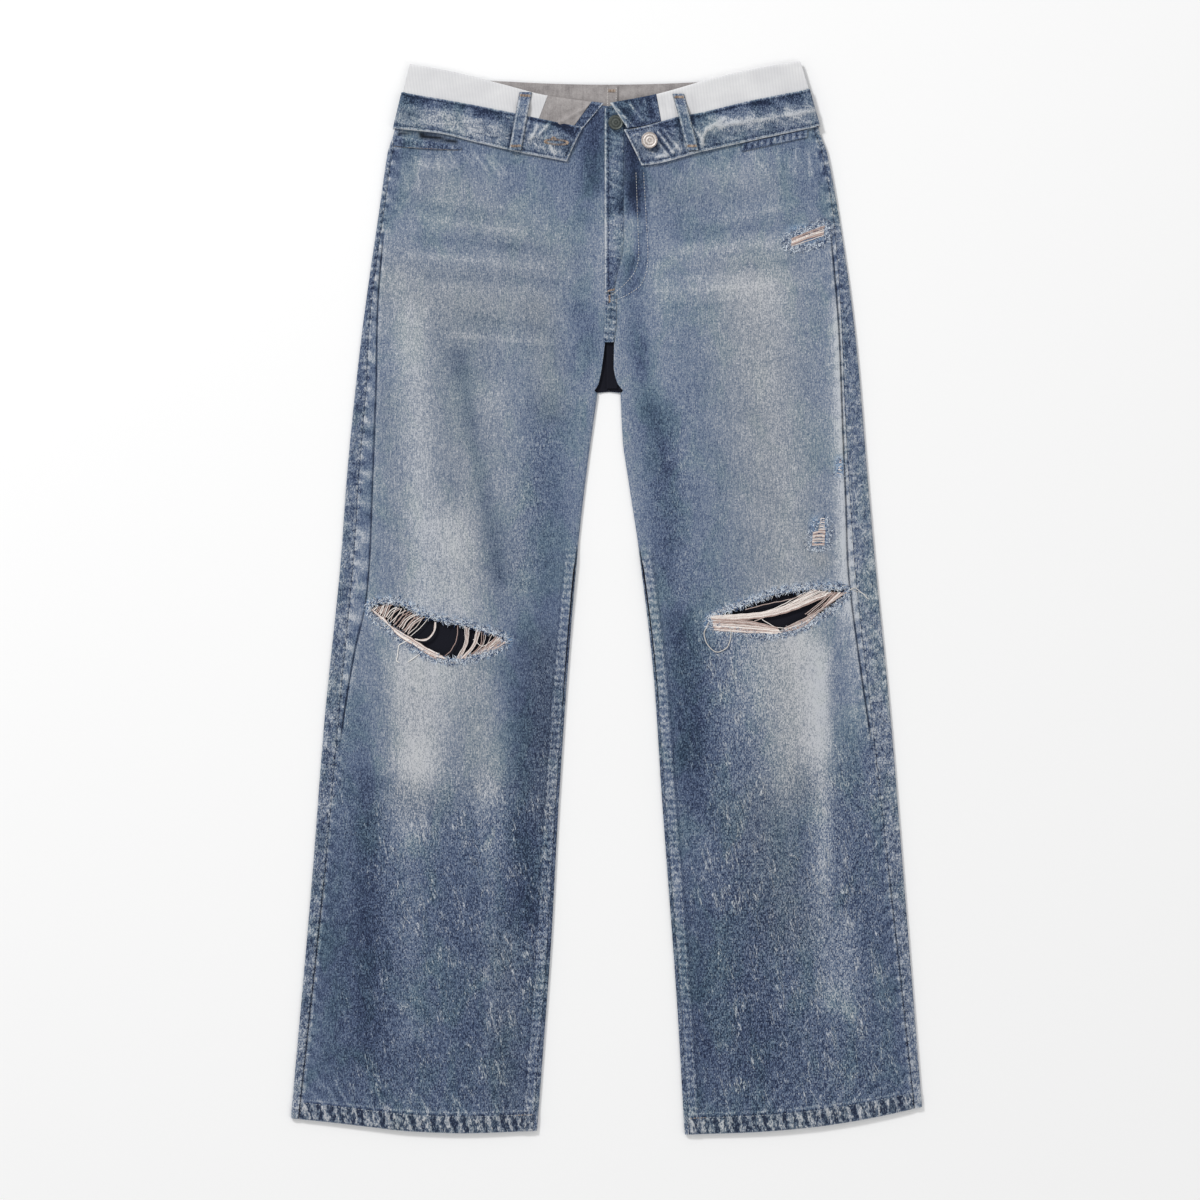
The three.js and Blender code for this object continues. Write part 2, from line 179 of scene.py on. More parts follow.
# Values along a line, smoothed between set stations and never past them
def track(*stations):
    spots = sorted(stations)
    at = np.array([s[0] for s in spots], float)
    value = np.array([s[1] for s in spots], float)
    chord = np.diff(value) / np.diff(at)
    before = np.concatenate([chord[:1], chord])
    after = np.concatenate([chord, chord[-1:]])
    both = before * after
    slope = np.where(both > 0, 2 * both / np.where(both > 0, before + after, 1), 0)

    def read(x):
        t = np.clip(np.asarray(x, float), at[0], at[-1])
        i = np.clip(np.searchsorted(at, t, side="right") - 1, 0, len(at) - 2)
        span = at[i + 1] - at[i]
        s = (t - at[i]) / span
        blend = s * s * (3 - 2 * s)
        leave = s * (1 - s) ** 2 * span * slope[i]
        arrive = s * s * (s - 1) * span * slope[i + 1]
        return value[i] + (value[i + 1] - value[i]) * blend + leave + arrive

    return read


def smooth(value, start, end):
    s = np.clip((np.asarray(value, float) - start) / (end - start), 0, 1)
    return s * s * (3 - 2 * s)


def mix(a, b, share):
    return a + (b - a) * share


legs = {
    "left": {
        "sign": -1,
        "side": track((556, 206), (525, 212.5), (491, 224), (393, 239.5), (268, 257), (123, 272),
                      (40, 278), (-127, 295), (-293, 308), (-541, 330)),
        "inseam": track((214, 10.4), (123, 22.9), (40, 32.2), (-85, 42.6), (-210, 51), (-376, 60.3),
                        (-554, 75)),
        "outseam": track((530, 5), (400, 5), (300, 6), (206, 11.5), (0, 13.5), (-140, 14.5), (-350, 11),
                         (-541, 7.5)),
        "ridge": track((383, 8), (317, 12), (206, 22.5), (76, 29), (4, 30.5), (-60, 24), (-160, 18)),
        "hem": track((330, -541), (290, -545), (247, -550), (205, -554.5), (150, -556.5), (75, -554)),
        "fold": track((0, 514), (65, 523), (112, 535), (160, 547), (206, 555.5)),
        "centre": track((530, -1), (310, -1), (263, 3.5), (224, 9.5), (214.5, 14.9)),
        "backCentre": -0.85,
    },
    "right": {
        "sign": 1,
        "side": track((559, 199.7), (529, 209.5), (491, 221.5), (393, 241), (268, 258), (123, 270.4),
                      (40, 277.7), (-127, 294.3), (-293, 307.8), (-529, 326.8)),
        "inseam": track((214, 12.5), (164, 15), (123, 20.8), (40, 33.3), (-85, 47.8), (-210, 56.2),
                        (-376, 68.6), (-557, 81)),
        "outseam": track((530, 5), (430, 5), (300, 12), (206, 17.5), (0, 21.5), (-180, 18), (-300, 14),
                         (-400, 11), (-541, 7.5)),
        "ridge": track((430, 8), (354, 13), (300, 15.5), (206, 20.5), (100, 25), (19, 29), (-60, 27),
                       (-160, 22)),
        "hem": track((327, -529), (290, -537.5), (250, -545), (206, -551), (150, -555.5), (81, -558)),
        "fold": track((0, 514), (50, 524), (111, 541), (158, 551.5), (200, 558.2)),
        "centre": track((530, 1.3), (325, 1.3), (300, 7.3), (241, 6), (224, 9.6), (214.5, 16.9)),
        "backCentre": 1.15,
    },
}


def backFloor(y):
    return cloth["backLift"] * smooth(y, 455, 480)


def frontTop(y):
    return mix(cloth["legLoft"], cloth["waistLoft"], smooth(y, 380, 470))


def crownAt(across, y):
    amount = cloth["crown"] * (1 - smooth(y, 330, 440))
    hip = smooth(y, 190, 250)
    return amount * mix(np.sin(np.pi * across), np.sin(0.5 * np.pi * across), hip)


def backTopLine(x):
    return 532.5 + 3 * (x / 100) ** 2


def hemShare(y):
    return 1 - smooth(y, cloth["hemLine"], cloth["hemLine"] + 120)


def topShare(y):
    return smooth(y, cloth["topLine"] - 80, cloth["topLine"])


def sideReach(leg, y):
    top = leg["fold"](205) - cloth["edgeRound"] - cloth["topLine"]
    along = y + topShare(y) * top + hemShare(y) * (leg["hem"](330) - cloth["hemLine"])
    return leg["side"](along) - 3 * smooth(along, 462, 486)


def frontAlong(leg, reach, y):
    top = leg["fold"](np.maximum(reach, 0)) - cloth["edgeRound"] - cloth["topLine"]
    return y + hemShare(y) * (leg["hem"](reach) - cloth["hemLine"]) + topShare(y) * top


def backAlong(leg, reach, y):
    fold = leg["fold"](np.maximum(reach, 0)) - cloth["edgeRound"]
    top = mix(backTopLine(reach), fold, smooth(reach, 100, 180)) - cloth["topLine"]
    return y + hemShare(y) * (leg["hem"](reach) - cloth["hemLine"]) + topShare(y) * top


# Soft marks laid on a sheet: each runs from one point to another with a radius and an amount,
# and fades out round its line
def marks(x, y, strokes):
    total = np.zeros(np.broadcast(x, y).shape)
    for x0, y0, x1, y1, radius, amount in strokes:
        dx, dy = x1 - x0, y1 - y0
        length = dx * dx + dy * dy + 1e-9
        t = np.clip(((x - x0) * dx + (y - y0) * dy) / length, 0, 1)
        away = (x - x0 - t * dx) ** 2 + (y - y0 - t * dy) ** 2
        total += amount * np.exp(-away / (radius * radius))
    return total


def bell(value, width):
    # 1 at the middle, falling away smoothly on both sides
    return np.exp(-(value / width) ** 2)


def scaledMarks(strokes, wider, higher):
    return [(*ends, radius * wider, amount * higher) for *ends, radius, amount in strokes]


def closedLine(points, steps):
    # A smooth closed line through the points
    count = len(points)
    spots = np.array(points, float)
    line = []
    for i in range(count):
        a, b, c, d = (spots[(i + k) % count] for k in (-1, 0, 1, 2))
        for t in np.arange(steps) / steps:
            line.append(0.5 * (2 * b + (c - a) * t + (2 * a - 5 * b + 4 * c - d) * t * t
                               + (3 * b - a - 3 * c + d) * t ** 3))
    return np.array(line)


def openLine(points, step):
    # A smooth open line through the points, with even steps
    spots = np.array(points, float)
    spots = np.vstack([2 * spots[0] - spots[1], spots, 2 * spots[-1] - spots[-2]])
    fine = []
    for i in range(1, len(spots) - 2):
        a, b, c, d = spots[i - 1:i + 3]
        for t in np.arange(16) / 16:
            fine.append(0.5 * (2 * b + (c - a) * t + (2 * a - 5 * b + 4 * c - d) * t * t
                               + (3 * b - a - 3 * c + d) * t ** 3))
    fine = np.array(fine + [spots[-2]])
    run = np.concatenate([[0], np.cumsum(np.linalg.norm(np.diff(fine, axis=0), axis=1))])
    count = max(int(round(run[-1] / step)), 1)
    wanted = np.linspace(0, run[-1], count + 1)
    return np.stack([np.interp(wanted, run, fine[:, k]) for k in range(fine.shape[1])], axis=1)


def inside(x, y, line):
    # Which points lie inside a closed line
    result = np.zeros(np.shape(x), bool)
    ends = np.roll(line, -1, axis=0)
    for (x0, y0), (x1, y1) in zip(line, ends):
        if y0 == y1:
            continue
        crosses = (y0 > y) != (y1 > y)
        result ^= crosses & (x < (x1 - x0) * (y - y0) / (y1 - y0) + x0)
    return result


def nearest(x, y, line):
    # Distance to a closed line, and the point on it
    best = np.full(np.shape(x), 1e9)
    spotX = np.array(x, float)
    spotY = np.array(y, float)
    ends = np.roll(line, -1, axis=0)
    for (x0, y0), (x1, y1) in zip(line, ends):
        dx, dy = x1 - x0, y1 - y0
        t = np.clip(((x - x0) * dx + (y - y0) * dy) / (dx * dx + dy * dy + 1e-9), 0, 1)
        px, py = x0 + t * dx, y0 + t * dy
        away = np.hypot(x - px, y - py)
        closer = away < best
        best = np.where(closer, away, best)
        spotX = np.where(closer, px, spotX)
        spotY = np.where(closer, py, spotY)
    return best, spotX, spotY


def grid(*parts):
    return np.stack(np.broadcast_arrays(*parts), axis=-1)


def metres(points):
    spots = np.array(points, float)
    return (spots + np.array([shiftX, shiftY, 0])) * millimetre


def meshObject(name, vertices, faces, facts):
    mesh = bpy.data.meshes.new(name)
    mesh.from_pydata([tuple(v) for v in metres(vertices)], [], [tuple(int(i) for i in f) for f in faces])
    for fact, values in facts.items():
        layer = mesh.attributes.new(fact, "FLOAT", "POINT")
        layer.data.foreach_set("value", np.asarray(values, np.float32).ravel())
    mesh.update()
    thing = bpy.data.objects.new(name, mesh)
    bpy.context.scene.collection.objects.link(thing)
    return thing


def selectOnly(thing):
    bpy.ops.object.select_all(action="DESELECT")
    thing.select_set(True)
    bpy.context.view_layer.objects.active = thing


def smoothShade(thing, degrees):
    selectOnly(thing)
    bpy.ops.object.shade_smooth_by_angle(angle=math.radians(degrees))


# A sheet of cloth from a grid of points (rows, columns, 3), with facts for each point.
# Its face side is where the points are, and its thickness goes the other way.
def gridSheet(name, points, thick, facts, materials, keep, faceUp):
    rows, columns = points.shape[:2]
    index = np.arange(rows * columns).reshape(rows, columns)
    quads = [index[:-1, :-1], index[:-1, 1:], index[1:, 1:], index[1:, :-1]]
    quads = np.stack(quads, axis=-1).reshape(-1, 4)
    if keep is not None:
        quads = quads[keep.reshape(-1)]
    thing = meshObject(name, points.reshape(-1, 3), quads, facts)
    for material in materials:
        thing.data.materials.append(finishes[material])
    shaped = bmesh.new()
    shaped.from_mesh(thing.data)
    loose = [v for v in shaped.verts if not v.link_faces]
    bmesh.ops.delete(shaped, geom=loose, context="VERTS")
    shaped.normal_update()
    turn = sum(f.normal.z * f.calc_area() for f in shaped.faces)
    if (turn > 0) != faceUp:
        bmesh.ops.reverse_faces(shaped, faces=shaped.faces)
    shaped.to_mesh(thing.data)
    shaped.free()
    selectOnly(thing)
    wall = thing.modifiers.new("cloth", "SOLIDIFY")
    wall.thickness = thick * millimetre
    wall.offset = -1
    wall.use_even_offset = False
    wall.material_offset = len(materials) - 1
    bpy.ops.object.modifier_apply(modifier=wall.name)
    smoothShade(thing, 55)
    return thing


# One number in a material, with the sums that shaders need
class Level:
    def __init__(self, book, socket):
        self.book = book
        self.socket = socket

    def made(self, operation, *others):
        node = self.book.node("ShaderNodeMath", {"operation": operation},
                              {0: self, **dict(enumerate(others, 1))})
        return Level(self.book, node.outputs[0])

    def __add__(self, other):
        return self.made("ADD", other)

    def __sub__(self, other):
        return self.made("SUBTRACT", other)

    def __mul__(self, other):
        return self.made("MULTIPLY", other)

    def size(self):
        return self.made("ABSOLUTE")

    def wave(self):
        return self.made("SINE")

    def step(self, low, high):
        # 0 below low, 1 above high, smooth between; low may be the larger
        node = self.book.node("ShaderNodeMapRange", {"interpolation_type": "SMOOTHSTEP"},
                              {"Value": self, "From Min": low, "From Max": high})
        return Level(self.book, node.outputs["Result"])


class Finish:
    def __init__(self, name, roughness, metallic=0.0):
        self.material = bpy.data.materials.new(name)
        self.material.use_nodes = True
        self.tree = self.material.node_tree
        self.shader = self.tree.nodes["Principled BSDF"]
        self.shader.inputs["Roughness"].default_value = roughness
        self.shader.inputs["Metallic"].default_value = metallic
        self.shader.inputs["Specular IOR Level"].default_value = 0.25 if metallic == 0 else 0.5

    def node(self, kind, settings=None, inputs=None):
        made = self.tree.nodes.new(kind)
        for key, value in (settings or {}).items():
            if key == "stops":
                ramp = made.color_ramp
                while len(ramp.elements) < len(value):
                    ramp.elements.new(0.5)
                for element, (place, colour) in zip(ramp.elements, value):
                    element.position = place
                    element.color = tint(colour)
            else:
                setattr(made, key, value)
        for key, value in (inputs or {}).items():
            if isinstance(value, Level):
                self.tree.links.new(value.socket, made.inputs[key])
            elif isinstance(value, bpy.types.NodeSocket):
                self.tree.links.new(value, made.inputs[key])
            else:
                made.inputs[key].default_value = value
        return made

    def fact(self, name):
        node = self.node("ShaderNodeAttribute", {"attribute_name": name})
        return Level(self, node.outputs["Fac"])

    def place(self, scale=(1, 1, 1), turn=0.0):
        # Object coordinates in millimetres, stretched and turned
        spot = self.node("ShaderNodeTexCoord").outputs["Object"]
        sized = [s / millimetre for s in scale]
        turned = self.node("ShaderNodeVectorRotate", {"rotation_type": "Z_AXIS"},
                           {"Vector": spot, "Angle": turn})
        scaled = self.node("ShaderNodeVectorMath", {"operation": "MULTIPLY"},
                           {0: turned.outputs[0], 1: sized})
        return scaled.outputs[0]

    def axes(self):
        split = self.node("ShaderNodeSeparateXYZ", {}, {0: self.place()})
        return [Level(self, split.outputs[k]) for k in range(3)]

    def noise(self, scale, turn=0.0, detail=2.0, rough=0.5, bend=0.0):
        made = self.node("ShaderNodeTexNoise", {}, {
            "Vector": self.place(scale, turn), "Scale": 1.0, "Detail": detail, "Roughness": rough,
            "Distortion": bend})
        return Level(self, made.outputs["Fac"])

    def fleck(self, wide, tall):
        # A random value for each small cell of the weave, in millimetres
        cell = self.node("ShaderNodeVectorMath", {"operation": "FLOOR"},
                         {0: self.place((1 / wide, 1 / tall, 0.5))})
        made = self.node("ShaderNodeTexWhiteNoise", {"noise_dimensions": "3D"}, {"Vector": cell.outputs[0]})
        return Level(self, made.outputs["Value"])

    def ramp(self, value, stops):
        return self.node("ShaderNodeValToRGB", {"stops": stops}, {"Fac": value}).outputs["Color"]

    def blend(self, share, first, second):
        made = self.node("ShaderNodeMix", {"data_type": "RGBA"}, {0: share})
        for key, value in ((6, first), (7, second)):
            if isinstance(value, bpy.types.NodeSocket):
                self.tree.links.new(value, made.inputs[key])
            else:
                made.inputs[key].default_value = tint(value)
        return made.outputs[2]

    def bump(self, height, distance, strength):
        made = self.node("ShaderNodeBump", {}, {"Height": height, "Strength": strength,
                                                "Distance": distance * millimetre})
        self.tree.links.new(made.outputs["Normal"], self.shader.inputs["Normal"])

    def colour(self, value):
        if isinstance(value, bpy.types.NodeSocket):
            self.tree.links.new(value, self.shader.inputs["Base Color"])
        else:
            self.shader.inputs["Base Color"].default_value = tint(value)


def tint(code):
    # "rrggbb" as seen on a screen, to the linear colour that nodes take
    parts = [int(code[k:k + 2], 16) / 255 for k in (0, 2, 4)]
    return [p / 12.92 if p <= 0.04045 else ((p + 0.055) / 1.055) ** 2.4 for p in parts] + [1.0]


denimLook = {
    "cool": ((0.0, "1e2840"), (0.15, "313d59"), (0.3, "455370"), (0.45, "5a6a86"), (0.6, "718098"),
             (0.75, "8994a5"), (0.88, "a3a9b4"), (1.0, "c4c9d1")),
    "warm": ((0.0, "283145"), (0.15, "3a465a"), (0.3, "4f5c6c"), (0.45, "667280"), (0.6, "7e8791"),
             (0.75, "979ba1"), (0.88, "adafb3"), (1.0, "c9c9cb")),
    "teal": ((0.0, "1c2c3c"), (0.15, "2d4354"), (0.3, "415a69"), (0.45, "57717f"), (0.6, "6e8791"),
             (0.75, "879a9f"), (0.88, "a2adae"), (1.0, "c6cccb")),
    "fray": ((0.0, "1c345a"), (0.3, "4a74a8"), (0.5, "78a0cb"), (0.7, "b3cfe6"), (1.0, "ffffff")),
}


# Washed denim: fade, warmth, scratches and fraying come from facts on the sheet, and so does painted shade in grooves,
# slits and openings
def denimFinish(name, slub=0.7, grain=0.9, weave=0.3, mottle=0.2, crackle=0.3, blotch=0.0,
                blotchScale=(0.07, 0.045, 0.07)):
    finish = Finish(name, 0.92)
    fade = finish.fact("fade")
    rubbed = finish.fact("crackle")
    streak = finish.noise((1.25, 0.1, 0.5), detail=3.0, rough=0.65)
    pick = finish.noise((0.25, 1.2, 0.4), detail=1.0)
    speck = finish.noise((1.8, 0.75, 0.8), turn=0.12, detail=1.5, rough=0.8)
    cloud = finish.noise((0.045, 0.03, 0.03), detail=4.0, rough=0.6, bend=0.4)
    level = fade + (streak - 0.5) * slub + (pick - 0.5) * 0.3 + (cloud - 0.5) * mottle
    level = level + (speck - 0.5) * (rubbed * 0.5 + grain)
    level = level + (finish.fleck(0.8, 1.5) - 0.5) * (rubbed * 0.36 + weave)
    relief = streak * 0.5 + speck * 0.8 + pick * 0.3
    over, along, _ = finish.axes()
    wobble = finish.noise((0.3, 0.16, 0.2), detail=2.0)
    rung = (along * 0.8 + wobble * 9.0).wave() * finish.fact("ladder")
    rung = rung + (over * 0.6 + along * 0.16 + wobble * 10.0).wave() * finish.fact("rope")
    level = level + rung
    relief = relief + rung * 2.0
    if crackle:
        bent = finish.noise((0.16, 0.026, 0.05), turn=-0.22, detail=3.0, rough=0.6, bend=0.3)
        line = (bent - 0.5).size().step(0.026, 0.004)
        patch = finish.noise((0.07, 0.04, 0.05), detail=3.0).step(0.46, 0.6)
        scratch = line * patch * rubbed
        level = level + scratch * crackle
        relief = relief + scratch * 0.9
    if blotch:
        spot = finish.noise(blotchScale, turn=0.2, detail=4.0, rough=0.65, bend=1.0)
        soft = spot.step(0.36, 0.64)
        level = level + (soft - 0.5) * blotch
        relief = relief + soft * blotch * 4.0
    cool = finish.ramp(level, denimLook["cool"])
    warm = finish.ramp(level, denimLook["warm"])
    teal = finish.ramp(level, denimLook["teal"])
    tinge = finish.noise((0.03, 0.016, 0.02), detail=3.0, rough=0.6, bend=0.6)
    cool = finish.blend(tinge.step(0.42, 0.7) * 0.5, cool, teal)
    colour = finish.blend(finish.fact("warm"), cool, warm)
    fluff = finish.noise((0.5, 0.5, 0.5), detail=3.0, rough=0.8, bend=1.5)
    frayed = finish.ramp((fluff - 0.5) * 4.5 + 0.45, denimLook["fray"])
    colour = finish.blend(finish.fact("fray"), colour, frayed)
    # Painted shade: a fact on the sheet blends the colour to near black where grooves, slits and openings lie in shade
    finish.colour(finish.blend(finish.fact("hollow"), colour, "0d111b"))
    finish.bump(relief + fluff * finish.fact("fray") * 3.0, 0.6, 0.9)
    return finish.material


def reverseFinish():
    # The inside of the cloth: warm grey by the waist, and painted near black lower down as the shade inside the legs
    finish = Finish("denimReverse", 0.95)
    _, along, _ = finish.axes()
    speck = finish.noise((0.7, 0.7, 0.7), detail=3.0, rough=0.7)
    cloud = finish.noise((0.09, 0.09, 0.09), detail=4.0, rough=0.6)
    streak = finish.noise((0.6, 0.06, 0.3), detail=2.0)
    level = (speck - 0.5) * 0.7 + (cloud - 0.5) * 0.95 + (streak - 0.5) * 0.3 + 0.5
    grey = finish.ramp(level, ((0.0, "6a6668"), (0.3, "8b8686"), (0.6, "a5a09f"), (1.0, "c0bcbb")))
    # Painted shade: below the waist the inside is coloured near black for the shadow inside the legs
    finish.colour(finish.blend(along.step(420.0, 470.0), "14151f", grey))
    finish.bump(speck * 0.8 + streak * 0.4, 0.4, 0.6)
    return finish.material


def cottonFinish():
    # White pocket cotton with a fine rib across it
    finish = Finish("pocketCotton", 0.9)
    rib = finish.node("ShaderNodeTexWave", {"wave_type": "BANDS", "bands_direction": "X"},
                      {"Vector": finish.place((1.0, 1.0, 1.0), -0.12), "Scale": 0.1, "Distortion": 0.35,
                       "Detail": 1.0, "Detail Scale": 0.4})
    ridge = Level(finish, rib.outputs["Fac"])
    cloud = finish.noise((0.03, 0.05, 0.03), detail=3.0)
    fine = finish.noise((1.2, 1.2, 1.2), detail=2.0)
    level = ridge * 0.2 + (cloud - 0.5) * 1.0 + (fine - 0.5) * 0.3 + 0.4
    finish.colour(finish.ramp(level, ((0.0, "cccccf"), (0.4, "d8d8da"), (0.75, "e3e3e4"), (1.0, "f0efef"))))
    finish.bump(ridge * 0.5 + fine * 0.4 + cloud * 2.0, 0.3, 0.5)
    return finish.material


def threadFinish(name, dark, light):
    # Each thread has a tone of its own
    finish = Finish(name, 0.8)
    twist = finish.noise((0.8, 0.8, 0.8), detail=3.0, rough=0.7)
    level = (twist - 0.5) * 1.2 + finish.fact("tone")
    finish.colour(finish.ramp(level, ((0.1, dark), (0.9, light))))
    finish.bump(twist, 0.2, 0.4)
    return finish.material


def metalFinish(name, node, dark, light, roughness, metallic):
    # Worn metal, with rings of painted shade and highlight round the middle of its button, for its turned ridges
    finish = Finish(name, roughness, metallic)
    worn = finish.noise((0.9, 0.9, 0.9), detail=3.0, rough=0.6)
    low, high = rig.box(node)
    middle = (low + high) / (2 * millimetre)
    out = finish.node("ShaderNodeVectorMath", {"operation": "DISTANCE"},
                      {0: finish.place((1, 1, 0)), 1: (middle.x, middle.y, 0)})
    paintedRingShade = (Level(finish, out.outputs["Value"]) * 2.1 + 1.2).wave()
    finish.colour(finish.ramp((worn - 0.5) * 1.4 + paintedRingShade * 0.28 + 0.5, ((0.1, dark), (0.9, light))))
    finish.bump(worn, 0.06, 0.3)
    return finish.material


finishes = {
    "leg": denimFinish("washedDenim", crackle=0.6),
    "edge": denimFinish("wornDenimEdge", grain=1.2, weave=0.45, crackle=0.3, blotch=0.34,
                        blotchScale=(0.2, 0.13, 0.2)),
    "waist": denimFinish("waistDenim", slub=0.4, grain=1.1, weave=0.45, crackle=0.45, blotch=0.28,
                         mottle=0.3, blotchScale=(0.05, 0.13, 0.1)),
    "reverse": reverseFinish(),
    "cotton": cottonFinish(),
    "cream": threadFinish("creamThread", "c9c4be", "f7f4f0"),
    "pink": threadFinish("pinkWeft", "b39a92", "fdf6f0"),
    "stone": threadFinish("stoneThread", "8791a0", "cdd2d8"),
    "navy": threadFinish("navyThread", "1a2134", "343f5a"),
    "tan": threadFinish("tanThread", "8a7566", "d0beae"),
    "blueFluff": threadFinish("blueFluff", "25416b", "eaf2fa"),
    "paleMetal": metalFinish("paleButton", "waist_button", "978a83", "f0e9e4", 0.5, 0.45),
    "darkMetal": metalFinish("darkButton", "fly_button", "3a403f", "6b706c", 0.4, 0.8),
}


def wander(t, seed):
    # A smooth wandering value between about -1 and 1
    dice = random.Random(seed)
    total = 0
    for k in range(4):
        pace, start = dice.uniform(0.55, 1.7), dice.uniform(0, 6.28)
        total = total + np.sin(np.asarray(t, float) * pace * (k + 1) * 0.7 + start) / (k + 1.6)
    return total * 0.62


def rowsOf(*zones):
    # Row positions from the top down: each zone is (from, to, step)
    rows = []
    for start, end, step in zones:
        count = max(int(round(abs(end - start) / step)), 1)
        rows.extend(np.linspace(start, end, count, endpoint=False))
    rows.append(zones[-1][1])
    return np.array(rows)


# Outlines of the two torn knees
rips = {
    "left": closedLine([(-248, -11), (-220, -5), (-190, -19), (-141, -31), (-107, -45), (-148, -62),
                        (-187, -58), (-220, -35)], 14),
    "right": closedLine([(106, -24), (157, -2), (190, 7), (247, 8), (214, -22), (176, -36), (136, -34)], 14),
}

frontLook = {
    "rows": ((530, 400, 2.4), (400, 25, 3.3), (25, -75, 1.6), (-75, -518, 3.5), (-518, -541, 1.4)),
    "outerCells": 12, "middleCells": 78, "bandCells": 11, "rollCells": 4,
    "fellWidth": 11.0, "fellHeight": 0.7, "hemHeight": 0.9, "ropeHeight": 0.45,
    "ridgeHeight": 1.5, "puckerHeight": 0.3,
}
# How pale the front is down its length, then marks that lighten (above 0) or darken it
fadeDown = track((530, 0.44), (480, 0.52), (435, 0.61), (350, 0.66), (268, 0.64), (100, 0.62), (0, 0.59),
                 (-100, 0.55), (-190, 0.48), (-270, 0.4), (-350, 0.36), (-440, 0.355), (-541, 0.315))
fadeMarks = {
    "left": [
        (-205, 290, -190, -10, 20, 0.2), (-162, 70, -152, -10, 22, 0.24), (-155, 250, -112, 20, 11, -0.2),
        (-62, 190, -62, -150, 22, -0.15), (-88, -40, -84, -330, 19, -0.2), (-150, 190, -150, 0, 38, 0.09),
        (-212, -70, -208, -165, 22, 0.27), (-180, -70, -184, -180, 20, 0.24),
        (-206, -175, -208, -240, 24, 0.2), (-146, -80, -128, -185, 28, 0.2),
        (-128, -200, -122, -250, 15, 0.13), (-262, 60, -277, -80, 12, 0.2), (-123, 205, -123, 90, 24, 0.09),
        (-60, -350, -62, -440, 12, 0.12), (-207, -240, -204, -450, 12, 0.09),
        (-122, -260, -122, -440, 8, 0.13), (-247, -190, -252, -480, 15, -0.13),
        (-205, 325, -95, 308, 24, 0.07), (-195, 395, -90, 380, 5, 0.12), (-205, 357, -70, 345, 4, 0.12),
        (-180, 414, -80, 404, 3, 0.08), (-190, 374, -60, 362, 5, -0.1), (-190, 335, -50, 328, 5, -0.08),
        (-170, 274, -60, 266, 3, 0.1), (-160, 292, -70, 282, 6, -0.07), (-40, 440, -30, 400, 26, -0.08),
        (-30, 300, -12, 250, 16, -0.1), (-40, 250, -22, 180, 18, -0.06), (-30, 360, -26, 260, 12, -0.1),
        (-150, 20, -130, -60, 22, -0.06), (-62, -60, -66, -260, 14, -0.09), (-200, 430, -150, 425, 14, 0.08),
        (-222, 444, -228, 400, 13, -0.16), (-150, -300, -152, -520, 16, -0.04),
        (-14, 500, -12, 430, 12, -0.3), (-26, 470, -24, 400, 12, -0.08), (-222, 462, -208, 462, 8, -0.2),
        (-150, 462, -140, 452, 1.6, 0.24), (-140, 463, -126, 446, 1.6, 0.26),
        (-128, 460, -112, 440, 1.6, 0.24), (-166, 464, -156, 448, 1.5, 0.2),
        (-120, 458, -104, 440, 1.5, 0.16), (-178, 462, -176, 446, 1.6, 0.14),
        (-206, 462, -190, 448, 1.8, 0.16), (-200, 450, -196, 424, 2, 0.12), (-214, 452, -208, 426, 2, 0.12),
        (-195, 452, -165, 449, 7, 0.14), (-222, 478, -160, 470, 4, -0.08),
    ],
    "right": [
        (60, 330, 180, 320, 30, 0.1), (150, 320, 190, 20, 46, 0.1), (236, 300, 244, 20, 7, 0.2),
        (40, 190, 62, 20, 17, -0.17), (62, 200, 72, 60, 12, -0.14), (22, 275, 64, 130, 11, -0.14),
        (70, -20, 90, -210, 18, -0.18), (94, -330, 100, -470, 15, -0.08), (206, -50, 214, -150, 22, 0.29),
        (223, -60, 224, -290, 11, 0.27), (80, -20, 86, -170, 20, -0.12), (250, 0, 256, -120, 12, 0.18),
        (248, 300, 252, 60, 12, 0.14), (222, -310, 232, -420, 12, 0.17), (178, -58, 184, -185, 26, 0.2),
        (150, -58, 150, -110, 20, 0.12), (252, 300, 252, 190, 10, 0.2), (251, 60, 252, -10, 10, 0.14),
        (33, 380, 34, 320, 10, -0.12), (33, 300, 36, 240, 10, -0.11), (96, -46, 98, -160, 17, -0.1),
        (64, -290, 66, -420, 9, 0.15), (256, -60, 262, -300, 12, -0.03), (250, -340, 252, -430, 12, 0.22),
        (150, -330, 160, -480, 24, -0.06), (120, 395, 190, 408, 4, 0.1), (60, 360, 200, 372, 5, 0.1),
        (50, 318, 170, 326, 3, 0.08), (70, 376, 190, 388, 5, -0.06), (60, 338, 190, 348, 5, -0.08),
        (60, 300, 150, 306, 6, -0.05), (28, 470, 26, 400, 9, -0.16), (26, 380, 24, 320, 9, -0.1),
        (205, 430, 226, 400, 9, -0.08), (70, 440, 160, 450, 14, 0.04), (24, 490, 26, 420, 8, -0.24),
        (34, 470, 36, 400, 8, -0.2), (20, 500, 24, 300, 14, -0.06), (22, 350, 12, 322, 7, -0.12),
        (29.1, 443, 31.8, 357, 1.3, -0.14), (36.9, 443, 41.3, 350, 1.3, -0.14),
        (31.8, 357, 17.7, 326.6, 1.3, -0.14), (41.3, 350, 22.9, 317, 1.3, -0.14),
        (18, 396, 20, 356, 2, 0.12), (24, 400, 26, 366, 1.8, 0.12), (43, 430, 46, 400, 1.4, 0.12),
        (22.9, 317, 1, 308, 1.3, -0.12), (96, 440, 140, 440, 16, 0.1), (27, 392, 27, 364, 8, 0.15),
        (26, 424, 26, 405, 8, -0.14), (222, 462, 226, 430, 8, -0.14), (150, 462, 166, 440, 1.5, 0.16),
        (176, 466, 178, 444, 1.5, 0.14), (196, 468, 194, 440, 1.6, 0.2), (208, 466, 211, 438, 1.6, 0.22),
        (216, 462, 222, 446, 1.4, 0.24), (186, 462, 190, 448, 1.4, 0.14), (140, 464, 200, 458, 5, 0.06),
    ],
}
